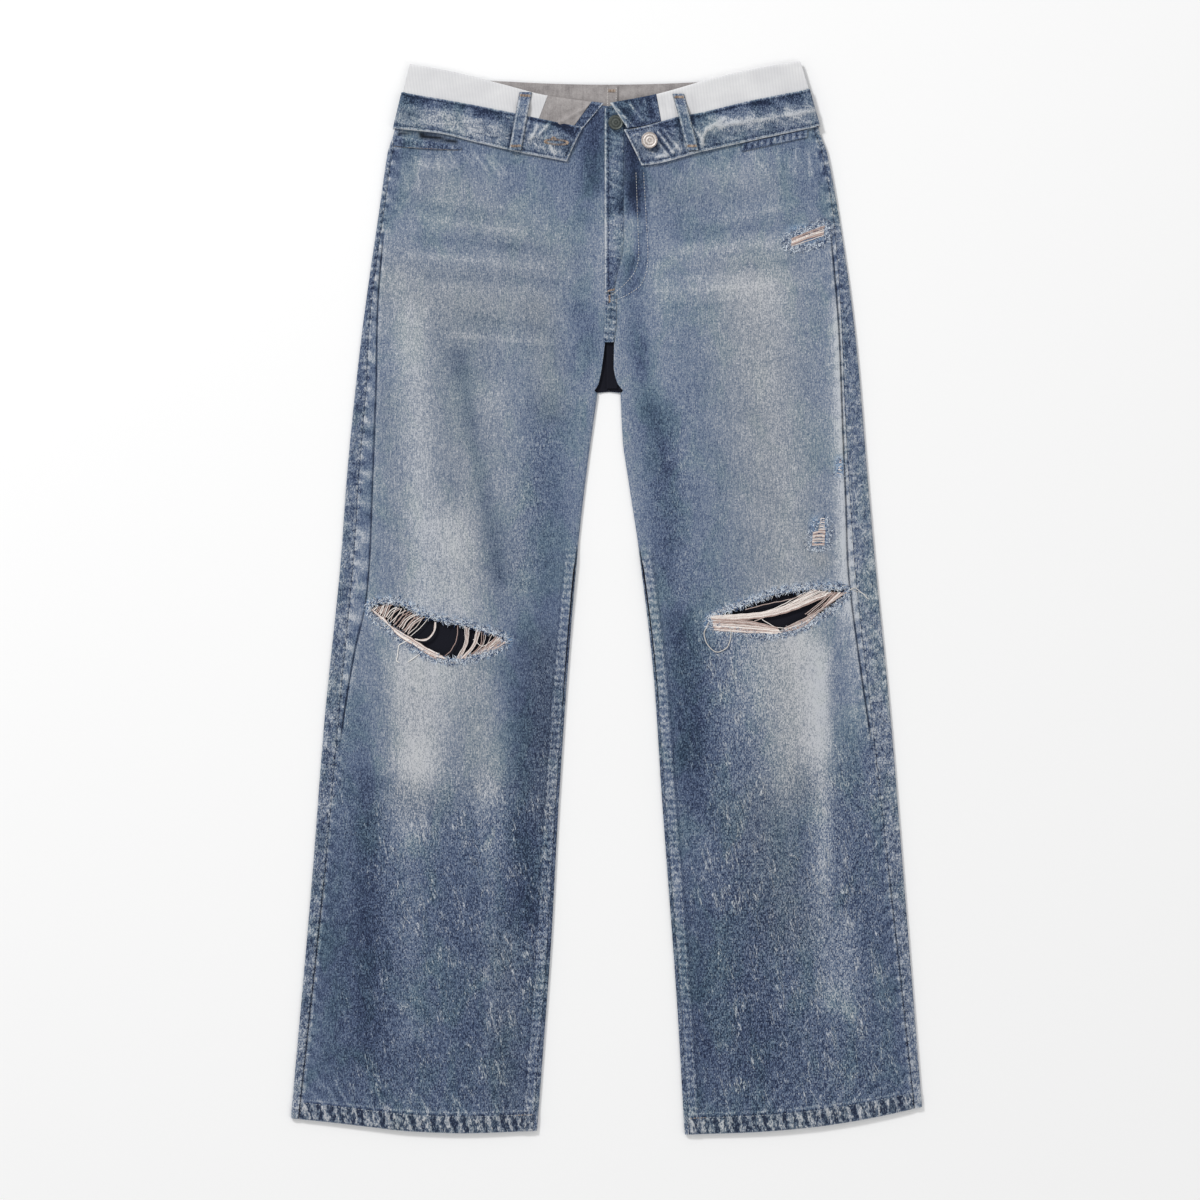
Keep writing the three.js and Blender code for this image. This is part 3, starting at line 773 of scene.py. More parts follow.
# Where the wash is warmer, and where it is scratched
warmMarks = {
    "left": [
        (-215, 330, -110, 310, 40, 0.5), (-200, -80, -200, -200, 36, 0.6), (-180, 430, -60, 350, 34, 0.35),
        (-66, -50, -66, -220, 20, 0.4), (-160, 260, -140, 30, 55, 0.5), (-110, -360, -105, -520, 20, 0.3),
        (-140, -75, -130, -190, 30, 0.5), (-70, 300, -60, 200, 20, 0.5), (-230, 210, -215, 0, 14, 0.2),
    ],
    "right": [
        (150, 320, 180, 20, 50, 0.6), (186, -60, 194, -190, 36, 0.7), (160, -230, 190, -340, 34, 0.4),
        (60, 420, 170, 430, 20, 0.2), (214, 60, 222, 40, 12, 0.6),
    ],
}
crackleMarks = {
    "left": [
        (-220, -250, -220, -520, 70, 0.8), (-110, -240, -110, -520, 60, 0.8), (-60, -80, -70, -400, 30, 0.6),
        (-262, 300, -290, -200, 14, 0.7), (-70, 160, -90, 20, 20, 0.4),
    ],
    "right": [
        (120, -60, 130, -520, 55, 0.9), (250, -220, 260, -520, 65, 0.95), (180, -300, 190, -520, 50, 0.5),
        (255, 300, 285, -200, 14, 0.7), (60, 160, 70, 20, 20, 0.4),
    ],
}
# Soft troughs and ridges across the cloth: from, to, radius, and height or depth
creases = {
    "left": [
        (-195, 396, -88, 382, 6, 0.35), (-205, 357, -70, 345, 6, 0.35), (-190, 376, -60, 364, 5, -0.3),
        (-190, 336, -50, 330, 6, -0.35), (-205, 318, -60, 305, 9, 0.5), (-160, 292, -70, 282, 7, -0.4),
        (-150, 462, -118, 444, 2.4, 0.6), (-140, 466, -104, 440, 2.2, -0.4),
        (-168, 464, -150, 436, 2.2, 0.5), (-185, 462, -178, 430, 2.4, 0.5), (-205, 458, -203, 424, 2.6, 0.4),
        (-218, 455, -219, 420, 2.4, -0.4), (-155, 250, -112, 20, 14, -0.8), (-190, 60, -180, -5, 26, 0.9),
        (-100, 60, -70, -60, 24, -0.4), (-205, -70, -200, -190, 20, 0.8), (-150, -70, -135, -190, 22, -0.5),
        (-88, -60, -84, -330, 16, -0.5), (-245, -230, -250, -480, 18, -0.5),
        (-210, -220, -206, -460, 16, 0.5), (-122, -230, -122, -460, 12, 0.5),
        (-160, -260, -160, -500, 16, -0.4),
    ],
    "right": [
        (120, 396, 190, 409, 6, 0.3), (60, 361, 200, 373, 7, 0.35), (70, 377, 190, 389, 5, -0.3),
        (60, 339, 190, 349, 5, -0.3), (50, 318, 170, 326, 8, 0.4), (22, 275, 64, 130, 12, -0.6),
        (150, 462, 166, 440, 2.4, 0.5), (176, 466, 178, 440, 2.4, -0.4), (196, 468, 194, 440, 2.4, 0.5),
        (208, 466, 210, 436, 2.4, -0.4), (214, 450, 216, 425, 2.4, 0.4), (180, 60, 190, 15, 26, 0.8),
        (100, 60, 80, -60, 24, -0.4), (214, -50, 220, -300, 18, 0.8), (170, -60, 170, -200, 20, -0.4),
        (78, -30, 96, -420, 16, -0.5), (108, -96, 125, -153, 2.2, 0.5), (255, -96, 268, -110, 1.8, 0.6),
        (272, -280, 292, -312, 2.2, 0.5), (250, -340, 252, -430, 14, 0.4), (100, -44, 128, -50, 3, 0.4),
        (150, -330, 158, -500, 18, -0.4), (200, -320, 200, -500, 14, -0.4), (126, -250, 150, -330, 3, 0.35),
        (230, -250, 262, -300, 2.6, 0.4), (90, -180, 118, -240, 2.4, 0.35),
    ],
}


innerTuck = track((60, 1.0), (-60, 2.6), (-300, 4.0), (-541, 4.6))


def frontPoints(side, leg):
    look = frontLook
    y = rowsOf(*look["rows"])[:, None]
    start = sideReach(leg, y) - leg["outseam"](y) - cloth["seamGap"]
    crest = np.minimum(sideReach(leg, y) - leg["ridge"](y) - 1.5, start - 4)
    below = y < cloth["crotchLine"]
    roll = smooth(y, 34, 66) * below
    inner = leg["inseam"](y)
    tuck = mix(innerTuck(y), 4.3, roll)
    end = np.where(below, inner + tuck, leg["centre"](y))
    bandEdge = end + look["fellWidth"]
    reach = [mix(start, crest, t) for t in np.linspace(0, 1, look["outerCells"], endpoint=False)]
    reach += [mix(crest, bandEdge, t) for t in np.linspace(0, 1, look["middleCells"], endpoint=False)]
    reach += [mix(bandEdge, end, t) for t in np.linspace(0, 1, look["bandCells"])]
    turnOver = []
    for k in range(1, look["rollCells"] + 1):
        angle = 0.5 * math.pi * k / look["rollCells"]
        reach.append(end - roll * 3.9 * math.sin(angle) - (1 - roll) * 0.02 * k)
        turnOver.append((len(reach) - 1, roll * (1 - math.cos(angle)) * 2.1 + (1 - roll) * 0.12 * k))
    reach = np.concatenate([np.broadcast_to(r, y.shape) for r in reach], axis=1)
    fromStart = start - reach
    fromEnd = np.maximum(reach - end, 0)
    fromHem = np.broadcast_to(y - cloth["hemLine"], reach.shape)
    x = leg["sign"] * reach
    yy = np.broadcast_to(y, reach.shape)
    across = np.clip(fromStart / (start - end), 0, 1)
    lift = frontTop(y) + crownAt(across, y)

    # The fold along the thigh stands up at its crest and dips beside it
    isRidge = smooth(y, -165, -120) * (1 - smooth(y, 350, 395))
    past = crest - reach
    lip = np.where(past >= 0, np.exp(-np.maximum(past, 0) / 11), smooth(past, -1.6, 0) * 1.2 - 0.2)
    lip = np.where(past < 0, lip * smooth(fromStart, 0, 3), lip)
    lift = lift + look["ridgeHeight"] * isRidge * lip

    # Felled inseam, turned hem and the puckers that the stitching draws in
    fell = (1 - roll) * below * (1 - smooth(fromEnd, look["fellWidth"] - 0.9, look["fellWidth"] + 0.2))
    lift = lift + look["fellHeight"] * fell
    hem = 1 - smooth(fromHem, cloth["hemDepth"] - 0.8, cloth["hemDepth"] + 0.4)
    slant = x + fromHem * 0.35
    rope = 0.75 * np.sin(slant * 0.36 + 2.8 * wander(x * 0.045, 11))
    rope = rope + 0.5 * np.sin(slant * 0.83 + 3 * wander(x * 0.06, 13))
    lift = lift + look["hemHeight"] * hem + look["ropeHeight"] * rope * hem * smooth(fromHem, 0, 5)
    drawn = smooth(fromHem, 17, 19) * (1 - smooth(fromHem, 24, 58))
    lift = lift - 0.5 * bell(fromHem - 17.8, 1.3)
    lift = lift + 0.22 * drawn * np.sin(x * 0.33 - yy * 0.3 * leg["sign"] + 2.4 * wander(x * 0.05, 17))
    pucker = np.exp(-fromStart / 6.5) * np.sin(yy * 0.62 + fromStart * 0.35 + 2.6 * wander(yy * 0.04, 23))
    lift = lift + look["puckerHeight"] * pucker - 0.45 * bell(fromStart, 0.9)
    lift = lift - 0.45 * bell(fromHem, 1.1)

    placed = frontAlong(leg, reach, y)
    lift = lift + marks(x, placed, creases[side])
    # Gentle unevenness of cloth that was laid by hand
    uneven = 0.22 * wander(x * 0.03 + yy * 0.008, 31) * wander(yy * 0.02, 37)
    lift = lift + uneven * smooth(fromStart, 0, 20)
    for index, drop in turnOver:
        lift[:, index:index + 1] -= drop

    ripAway, nearX, nearY = nearest(x, yy, rips[side])
    isIn = inside(x, yy, rips[side])
    lift = lift + 0.5 * bell(ripAway, 3.0) * (1 + 0.6 * np.sin(x * 1.7 + yy * 1.1))

    fade = fadeDown(yy) + marks(x, placed, fadeMarks[side])
    fade = fade + 0.06 * wander(x * 0.045 + yy * 0.004, 41) + 0.035 * wander(yy * 0.03 + x * 0.02, 43)
    seamWear = np.sin(yy * 0.38 + fromStart * 0.3 + 2.5 * wander(yy * 0.05, 47))
    fade = fade + np.exp(-fromStart / 5.5) * (0.27 * seamWear + 0.07)
    outside = smooth(-past, 0, 1.2) * isRidge
    sideTone = 0.08 if side == "right" else -0.08
    fade = fade + outside * sideTone + outside * 0.13 * np.sin(yy * 0.21 + 1.9 * wander(yy * 0.05, 53))
    # Partly wear and partly painted highlight: the fold's crest is paler
    crestWearAndHighlight = 0.24 if side == "right" else 0.12
    fade = fade + isRidge * crestWearAndHighlight * bell(np.maximum(past, 0), 2.4) * (past >= 0)
    # Painted shade: a dark line in the groove beside the fold crest, and another along the felled inseam edge, which
    # is paler itself
    fade = fade - isRidge * 0.28 * bell(past + 1.6, 1.1)
    fade = fade + fell * 0.1 - below * (1 - roll) * 0.2 * bell(fromEnd - 11.8, 0.9)
    fade = fade + hem * (0.08 + 0.2 * rope) * smooth(fromHem, 0.5, 3) - 0.22 * bell(fromHem - 17.9, 1.2)
    fade = fade + 0.3 * bell(fromHem - 19.8, 1.3) + 0.2 * bell(fromHem, 1.3)
    scuff = np.clip(np.sin(x * 0.33 - yy * 0.3 * leg["sign"] + 2.4 * wander(x * 0.05, 17)), 0, 1) ** 3
    fade = fade + drawn * 0.4 * scuff * (0.5 + 0.5 * wander(x * 0.06, 19))
    pale = sum(np.exp(-np.maximum(ripAway * np.where(isIn, 0, 1) - 4, 0) / reachOut) * share
               for reachOut, share in ((7, 0.05), (20, 0.05)))
    fade = fade + pale + 0.22 * (1 - smooth(yy, -330, -230)) * bell(fromStart - 2.8, 1.1)
    warm = np.clip(marks(x, placed, warmMarks[side]) + hem * 0.5, 0, 1)
    crackle = np.clip(marks(x, yy, crackleMarks[side]), 0, 1.2)
    fuzzy = 6.0 + 1.2 * np.sin(x * 0.55 + 1) + 0.8 * np.sin(x * 1.3)
    fray = np.exp(-(ripAway / fuzzy) ** 4)
    for spotX, spotY, wide, tall in tornSpots[side]:
        fray = np.maximum(fray, np.exp(-((x - spotX) / wide) ** 4 - ((placed - spotY) / tall) ** 4))

    snap = isIn & (ripAway < 2.6)
    x = np.where(snap, nearX, x)
    along = np.where(snap, nearY, placed)
    points = grid(x, along, lift)
    halves = ((0, -1), (1, None))
    cellIn = sum(isIn[a:b, c:d].astype(int) for a, b in halves for c, d in halves)
    keep = cellIn < 3
    # Painted shade: dark lines in the groove beside the fold crest, along the outseam on the lower leg and along the
    # felled inseam edge, then the listed dark openings
    hollow = isRidge * 0.75 * bell(past + 1.7, 0.8) * (fromStart > 1)
    low = 1 - smooth(yy, -330, -230)
    hollow = hollow + (0.5 if side == "right" else 0.9) * low * bell(fromStart, 1.1)
    hollow = hollow + 0.7 * below * (1 - roll) * bell(fromEnd - 12.2, 0.9)
    for spot in paintedShadeMarks[side]:
        hollow = hollow + marks(x, placed, [spot])
    return points, {"fade": fade, "warm": warm, "crackle": crackle, "fray": fray * 0.95,
                    "hollow": np.clip(hollow, 0, 1),
                    "rope": hem * 0.4 * smooth(fromHem, 0, 2),
                    "ladder": fell * 0.17 + 0.16 * bell(fromStart, 4.5)}, keep


# Painted shade: dark openings and deep shadow at the pocket mouth, beside the fly and at the small torn places
paintedShadeMarks = {
    "left": [
        (-218, 483.5, -194, 481, 1.2, 0.8), (-194, 481, -178, 478.5, 2.6, 1.3),
        (-178, 478.5, -158, 474, 1.9, 1.1),
    ],
    "right": [
        (19, 480, 18, 430, 2.2, 0.3), (197, 377, 222, 381, 3.5, 0.6), (219, 57, 219, 74, 3.5, 0.5),
    ],
}

# Small torn places: middle, half width and half height
tornSpots = {"left": [], "right": [(208, 378.5, 19, 9), (241, 137, 5, 10), (219, 68, 9, 16)]}

backLook = {
    "rows": ((530, 440, 3.0), (440, 214.6, 5.0), (214.6, 213.4, 1.2), (213.4, 30, 5.0), (30, -520, 4.6),
             (-520, -541, 2.0)),
    "stripCells": 12, "arcCells": 9, "floorCells": 26, "innerCells": 4,
}


def backPoints(leg):
    look = backLook
    y = rowsOf(*look["rows"])[:, None]
    floor = backFloor(y)
    top = frontTop(y)
    middle = (floor + top) / 2
    half = (top - floor) / 2
    width = leg["outseam"](y)
    outer = sideReach(leg, y)
    below = y < cloth["crotchLine"]
    roll = smooth(y, 34, 66) * below
    inner = np.where(below, leg["inseam"](y), leg["backCentre"])
    bend = cloth["edgeRound"]
    reach, lift = [], []
    for t in np.linspace(0, 1, look["stripCells"], endpoint=False):
        reach.append(outer - mix(width, bend, t))
        lift.append(top + 0 * y)
    for k in range(look["arcCells"] + 1):
        angle = math.pi * (0.5 - k / look["arcCells"])
        reach.append(outer - bend * (1 - math.cos(angle)))
        lift.append(middle + half * math.sin(angle))
    for t in np.linspace(0, 1, look["floorCells"] + 1)[1:]:
        reach.append(mix(outer - bend, inner + np.where(below, bend, 6.0), t))
        lift.append(floor)
    for k in range(1, look["arcCells"] + 1):
        t = k / look["arcCells"]
        turn = -0.5 * math.pi + t * (math.pi * (1 - roll) + 0.42 * math.pi * roll)
        reach.append(np.where(below, inner + bend * (1 - np.cos(turn)) + 0.4 * roll,
                              inner + mix(6.0, 1.0, t)))
        lift.append(np.where(below, middle + half * np.sin(turn), floor))
    tuck = track((60, 0.7), (-60, 2.3), (-300, 3.7), (-541, 4.3))(y)
    for t in np.linspace(0, 1, look["innerCells"] + 1)[1:]:
        reach.append(np.where(below, mix(inner + bend + t * (tuck - bend), inner + 1.4 + 0.1 * t, roll),
                              inner + mix(1.0, 0, t)))
        lift.append(np.where(below, mix(top, middle - 0.1 + 0.15 * t, roll), floor))
    reach = np.concatenate([np.broadcast_to(r, y.shape) for r in reach], axis=1)
    lift = np.concatenate([np.broadcast_to(z, y.shape) for z in lift], axis=1)
    yy = np.broadcast_to(y, reach.shape)
    x = leg["sign"] * reach
    fromEdge = outer - reach
    above = lift > middle
    strip = above & (fromEdge < width + 1)
    fromSeam = np.maximum(width - fromEdge, 0)
    marble = wander(yy * 0.16 + fromEdge * 0.04, 61 + leg["sign"])
    fine = wander(yy * 0.5 + fromEdge * 0.22, 67 + leg["sign"])
    lift = lift + np.where(strip, 0.22 * marble * smooth(fromEdge, 0, 4) + 0.12 * fine, 0)
    lift = lift - np.where(strip, 0.45 * bell(fromSeam, 0.9), 0)
    fromHem = yy - cloth["hemLine"]
    hem = 1 - smooth(fromHem, cloth["hemDepth"] - 0.8, cloth["hemDepth"] + 0.4)
    lift = lift + np.where(above, hem * 0.8 - 0.4 * bell(fromHem - 17.8, 1.3), 0)
    edgeFade = track((530, 0.4), (430, 0.42), (300, 0.36), (200, 0.4), (60, 0.44), (-60, 0.46), (-200, 0.4),
                     (-420, 0.36), (-470, 0.46), (-541, 0.5))
    fade = np.where(above, edgeFade(yy), 0.33 + 0.2 * bell(reach - 170, 70))
    edgeTone = 0.18 if leg["sign"] > 0 else 0.12
    fade = fade + np.where(above, edgeTone + 0.14 * marble + 0.1 * fine, 0.03 * marble)
    fade = fade + np.where(strip, 0.08 * bell(fromEdge - 1.2, 1.4), 0)
    fade = fade + np.where(above, 0.12 * hem, 0)
    fade = fade - 0.15 * (reach < inner + 4) * above * below
    along = backAlong(leg, reach, y)
    along = along + 1.6 * smooth(y, 525, 530)
    zero = np.zeros(reach.shape)
    crackle = np.where(above, 0.5, 0.2) * smooth(-yy, -100, 200)
    ladder = np.where(strip, 0.2 * bell(fromSeam, 3.5), 0)
    return grid(x, along, lift), {"fade": fade, "warm": zero, "crackle": crackle, "ladder": ladder}


def dress(thing, slot, nodes=()):
    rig.ride(thing, "root")
    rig.slot(thing, slot)
    if nodes:
        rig.replaces(thing, *nodes)
    return thing


def clothPiece(name, points, thick, face, slot, nodes, facts=None, keep=None, faceUp=True,
               reverse="reverse"):
    shape = points.shape[:2]
    full = {"fade": 0.5, "warm": 0.0, "crackle": 0.0, "fray": 0.0, "hollow": 0.0, "ladder": 0.0, "rope": 0.0,
            **(facts or {})}
    full = {key: np.broadcast_to(value, shape) for key, value in full.items()}
    return dress(gridSheet(name, points, thick, full, (face, reverse), keep, faceUp), slot, nodes)


# Waist pieces
turnFloor = cloth["waistLoft"] + cloth["seamGap"]
bandFloor = turnFloor + cloth["denim"] + cloth["seamGap"]
bandDroop = 0.9
# Top and low edge of each folded band half, along its width
bandTopEdge = {
    "left": track((-215, 525.5), (-174, 518.5), (-110, 506.5), (-78, 499.5), (-26, 489)),
    "right": track((16.5, 486.5), (33, 489), (71, 499.5), (95, 504), (147, 516.5), (210, 529)),
}
bandLowEdge = {
    "left": track((-224, 488), (-174, 482.5), (-141, 474.5), (-94, 463.5), (-43, 453.5)),
    "right": track((35, 449.5), (49, 451), (95, 463), (133, 471.5), (221, 490.5)),
}


def turnedPoints(side, stations, count, steps, hooked, thick):
    # A piece turned out over the fold at the top. Stations give where a line starts on the fold, where
    # it ends under the band, its tuck and its arch.
    leg = legs[side]
    spots = np.array(stations, float)
    run = np.concatenate([[0], np.cumsum(np.abs(np.diff(spots[:, 0])))])
    at = np.linspace(0, run[-1], count)
    start, stop, tuck, arch = (np.interp(at, run, spots[:, k])[:, None] for k in range(4))
    fold = leg["fold"](np.abs(start))
    length = fold - (bandTopEdge[side](stop) - tuck)
    top = turnFloor + arch + thick
    lipFloor = cloth["backLift"] + cloth["denim"] + cloth["seamGap"]
    drops, heights = [], []
    if hooked:
        for drop in np.linspace(14, 2.6, 5):
            drops.append(drop + 0 * start)
            heights.append(lipFloor + 0 * start)
    half = (top - (lipFloor if hooked else turnFloor)) / 2
    for k in range(0 if hooked else 4, 8):
        angle = math.pi * (k / 7 - 0.5)
        drops.append(2.6 * (1 - math.cos(angle)) + 0 * start)
        heights.append(top - half + half * math.sin(angle))
    for t in np.linspace(0, 1, steps + 1)[1:]:
        drops.append(mix(2.6, length, t))
        heights.append(top + 0 * start)
    drop = np.concatenate(drops, axis=1)
    lift = np.concatenate(heights, axis=1)
    x = start + (stop - start) * drop / length
    limit = min(leg["side"](545), leg["side"](556)) - 3 - cloth["edgeRound"] - cloth["seamGap"] - 1
    x = np.where((lift < cloth["waistLoft"] - cloth["denim"]) & (drop > 1), np.clip(x, -limit, limit), x)
    return grid(x, fold - drop, lift), lift > turnFloor


def bandPoints(side, inner, outer, rows=26, columns=150):
    v = np.linspace(0, 1, rows)[:, None]
    startX = mix(inner[0], inner[1], v)
    endX = mix(outer[0], outer[1], v)
    inwards = np.sign(startX - endX)
    top = bandFloor - bandDroop * v + cloth["band"]
    share = np.linspace(0, 1, columns)[None, :]
    x = mix(startX, endX + inwards * 5, share)
    along = mix(bandTopEdge[side](x), bandLowEdge[side](x), v)
    lift = top + 0 * x
    xs, alongs, lifts = [x], [along], [lift]
    endAlong = mix(bandTopEdge[side](endX), bandLowEdge[side](endX), v)
    for inset, drop in ((3.6, 0.06), (2.4, 0.25), (1.4, 0.6), (0.6, 1.5), (0.15, 2.8), (0, 4.6), (0, 6.4)):
        xs.append(endX + inwards * inset)
        alongs.append(endAlong)
        lifts.append(top - drop)
    share = np.concatenate([share + 0 * v, np.ones((rows, 7))], axis=1)
    return (np.concatenate(xs, axis=1), np.concatenate(alongs, axis=1), np.concatenate(lifts, axis=1),
            np.broadcast_to(v, (rows, columns + 7)), share)


# Creases in the band: the same marks lift and lighten it
bandMarks = {
    "left": [
        (-73, 490, -80, 477, 1.8, 0.3), (-61, 493, -72, 481, 1.8, 0.26), (-82, 486, -86, 468, 2.4, 0.14),
        (-60, 469, -55, 460, 1.8, 0.3), (-67, 468, -63, 459, 1.4, 0.2), (-76, 472, -72, 464, 1.6, 0.2),
        (-52, 494, -38, 484, 7, -0.22), (-80, 499, -45, 491, 3.5, -0.2), (-44, 474, -38, 462, 5, -0.12),
        (-190, 500, -112, 486, 9, 0.1), (-165, 487, -140, 482, 5, 0.08), (-212, 519, -190, 515, 5, -0.16),
        (-176, 513, -150, 509, 4, -0.14), (-138, 505, -112, 500, 5, -0.16), (-105, 496, -100, 480, 4, -0.12),
        (-206, 500, -196, 500, 6, -0.06), (-128, 488, -118, 478, 3, -0.1),
    ],
    "right": [
        (97, 466, 98, 476, 1.4, 0.34), (98, 476, 102, 486, 1.4, 0.34), (102, 486, 121, 498, 1.8, 0.32),
        (98, 476, 89, 489, 1.3, 0.3), (116, 490, 217, 507, 2.2, 0.24), (104, 488, 150, 500, 3, 0.1),
        (50, 458, 62, 460, 1.8, 0.28), (66, 462, 72, 470, 1.4, 0.26), (74, 462, 82, 474, 1.6, 0.2),
        (54, 486, 68, 492, 3, -0.12), (78, 495, 100, 498, 4, -0.2), (112, 506, 128, 508, 4, -0.14),
        (150, 513, 168, 515, 5, -0.16), (184, 519, 200, 520, 5, -0.14), (120, 486, 160, 490, 8, 0.06),
        (112, 476, 128, 484, 6, -0.1), (140, 492, 146, 486, 4, -0.08), (44, 470, 60, 484, 9, -0.15),
        (46, 481, 62, 460, 1.3, 0.3), (52, 484, 68, 462, 1.3, 0.26), (58, 486, 74, 466, 1.5, 0.22),
        (49, 482, 65, 461, 1.5, -0.2), (55, 485, 71, 464, 1.4, -0.14), (38, 474, 46, 462, 1.8, 0.2),
        (196, 500, 214, 503, 6, 0.06),
    ],
}


# Painted shadow: a dark line on the band along each side of the belt loops
loopShade = {
    "left": [
        (-78, 501, -88.5, 465, 1.5, -0.4), (-93.5, 501, -104, 466, 1.5, -0.4),
    ],
    "right": [
        (71.5, 500, 80, 462, 1.5, -0.4), (87, 502, 96, 464, 1.5, -0.4),
    ],
}


def bandPiece(side, inner, outer):
    x, along, lift, v, share = bandPoints(side, inner, outer)
    width = 37.0
    fromTop = v * width
    fromLow = (1 - v) * width
    fromEnd = share * np.abs(outer[0] - inner[0])
    lift = lift + marks(x, along, scaledMarks(bandMarks[side], 1.3, 4.0))
    bumpy = wander(x * 0.12 + along * 0.03, 71) * wander(along * 0.1 + x * 0.02, 73)
    lift = lift + 0.8 * bumpy
    for spot in (fromTop - 2.6, fromLow - 3.2, fromEnd - 3.2):
        lift = lift - 0.6 * bell(spot, 0.9)
    lift = lift + 0.5 * bell(fromLow - 1.2, 0.9) + 0.4 * bell(fromEnd - 1.2, 0.9)
    lift = lift - 0.6 * bell(fromLow, 0.9) - 0.6 * bell(fromTop, 0.9)
    lift = lift - 0.6 * bell(fromEnd, 1.0)
    fade = 0.55 + 1.9 * marks(x, along, bandMarks[side]) + marks(x, along, loopShade[side]) + 0.2 * bumpy
    fade = fade + 0.62 * bell(fromLow, 1.5) + 0.34 * bell(fromTop, 1.1)
    fade = fade + 0.6 * bell(fromEnd, 1.5)
    fade = fade - 0.22 * bell(fromTop - 2.8, 1.6) - 0.2 * bell(fromLow - 3.3, 1.3)
    fade = fade - 0.24 * bell(fromEnd - 3.3, 1.2)
    ladder = np.sin(x * 0.9 + 2 * wander(x * 0.08, 79))
    fade = fade + 0.1 * ladder * bell(fromLow, 4.0) + 0.06 * ladder * bell(fromTop, 4.0)
    warm = 0.35 * bell(fromLow - 14, 10)
    points = grid(x, along, lift)
    return clothPiece(f"waistband_{side}_cloth", points, cloth["band"] - 0.4, "waist", "denim_dark",
                      [f"waistband_{side}"], {"fade": fade, "warm": warm, "crackle": 0.15})


def loopPiece(side, top, bottom, width):
    t = np.linspace(0, 1, 60)[:, None]
    s = np.linspace(-0.5, 0.5, 17)[None, :]
    climb = track((0, turnFloor + 1.2), (0.14, turnFloor + 1.3), (0.26, bandFloor + 2.3),
                  (0.5, bandFloor + 2.2), (1, bandFloor + 1.9))
    x = mix(top[0], bottom[0], t) + s * width
    along = mix(top[1], bottom[1], t) + 0 * s
    fromEdge = (0.5 - np.abs(s)) * width
    lift = climb(t) + cloth["seamGap"] + cloth["denim"] + 0.4 * (1 - 4 * s * s)
    lift = lift + 0.35 * bell(fromEdge - 2.2, 1.4) - 0.5 * bell(fromEdge, 0.7)
    ticks = np.sin(t * 95 + s * 3)
    lift = lift + 0.08 * ticks * bell(fromEdge, 2.5)
    fade = 0.6 + 0.26 * bell(fromEdge - 1.4, 1.2) + 0.1 * ticks * bell(fromEdge, 3.0)
    fade = fade - 0.14 * bell(fromEdge - 3.6, 1.0) + 0.1 * wander(t * 9, 83) + 0 * x
    # Painted shade along both edges of the loop
    return clothPiece(f"belt_loop_{side}_cloth", grid(x, along, lift), cloth["denim"], "waist",
                      "denim_dark", [f"belt_loop_{side}"],
                      {"fade": fade, "hollow": 0.7 * bell(fromEdge, 0.45) + 0 * x})


pieces = {}
print("stage: legs")
for side, leg in legs.items():
    points, facts = backPoints(leg)
    solids = [f"back_{part}_{side}" for part in ("leg", "yoke", "side", "inseam")]
    pieces["back_" + side] = clothPiece(f"back_{side}_cloth", points, 1.15, "edge", "denim_back", solids,
                                        facts, faceUp=False)
    points, facts, keep = frontPoints(side, leg)
    pieces["front_" + side] = clothPiece(f"front_{side}_cloth", points, cloth["denim"], "leg", "denim_front",
                                         [f"front_leg_{side}"], facts, keep)

print("stage: waist")
bagCreases = [(66, 520, 74, 508, 1.6, 0.9), (58, 519, 64, 500, 2.0, -0.6), (84, 524, 88, 506, 2.2, 0.8),
              (78, 521, 80, 505, 1.6, -0.6), (92, 520, 96, 508, 3, -0.4)]
for side, stations in (("left", [(-206, -213, -0.8, 0), (-188, -197, 6, 0), (-62.6, -74, 6, 0)]),
                       ("right", [(50.3, 56.5, 6, 0), (182, 192, 6, 0), (199.7, 208.5, -0.8, 0)])):
    points, shown = turnedPoints(side, stations, 130, 16, True, cloth["bag"])
    x, along = points[..., 0], points[..., 1]
    fold = legs[side]["fold"](np.abs(x)) - along
    points[..., 2] += np.where(shown, 0.3 * wander(x * 0.07 + along * 0.04, 91) * smooth(fold, 0, 6), 0)
    if side == "right":
        points[..., 2] += np.where(shown, marks(x, along, bagCreases), 0)
    pieces["bag_" + side] = clothPiece(f"pocket_bag_{side}_cloth", points, cloth["bag"] - 0.1, "cotton",
                                       "bag_cotton", [f"pocket_bag_{side}"], reverse="cotton")

points, shown = turnedPoints("left", [(-62.3, -73.7, 6, 0), (-17, -39, 6, 0)], 60, 22, True, cloth["denim"])
greyMarks = [(-20, 511, -50, 494, 2.2, 1.0), (-26, 512, -54, 498, 3.0, -0.5), (-58, 512, -64, 496, 3, 0.4)]
points[..., 2] += np.where(shown, 1.4 * marks(points[..., 0], points[..., 1], greyMarks), 0)
pieces["greyTurn"] = clothPiece("turned_front_left_cloth", points, 1.0, "reverse", "denim_reverse",
                                ["turned_front_left"])

points, _ = turnedPoints("left", [(-16.6, -38.6, 6, 0), (-4.5, -28, 3, 0)], 22, 26, False, cloth["denim"])
share = np.linspace(0, 1, 22)[:, None]
fade = 0.34 + 0.62 * bell(1 - share, 0.12) - 0.1 * bell(1 - share - 0.25, 0.1) \
    + 0.1 * wander(points[..., 1] * 0.3, 97)
pieces["facing"] = clothPiece("fly_facing_left_cloth", points, 1.0, "waist", "denim_dark",
                              ["fly_facing_left"], {"fade": fade})

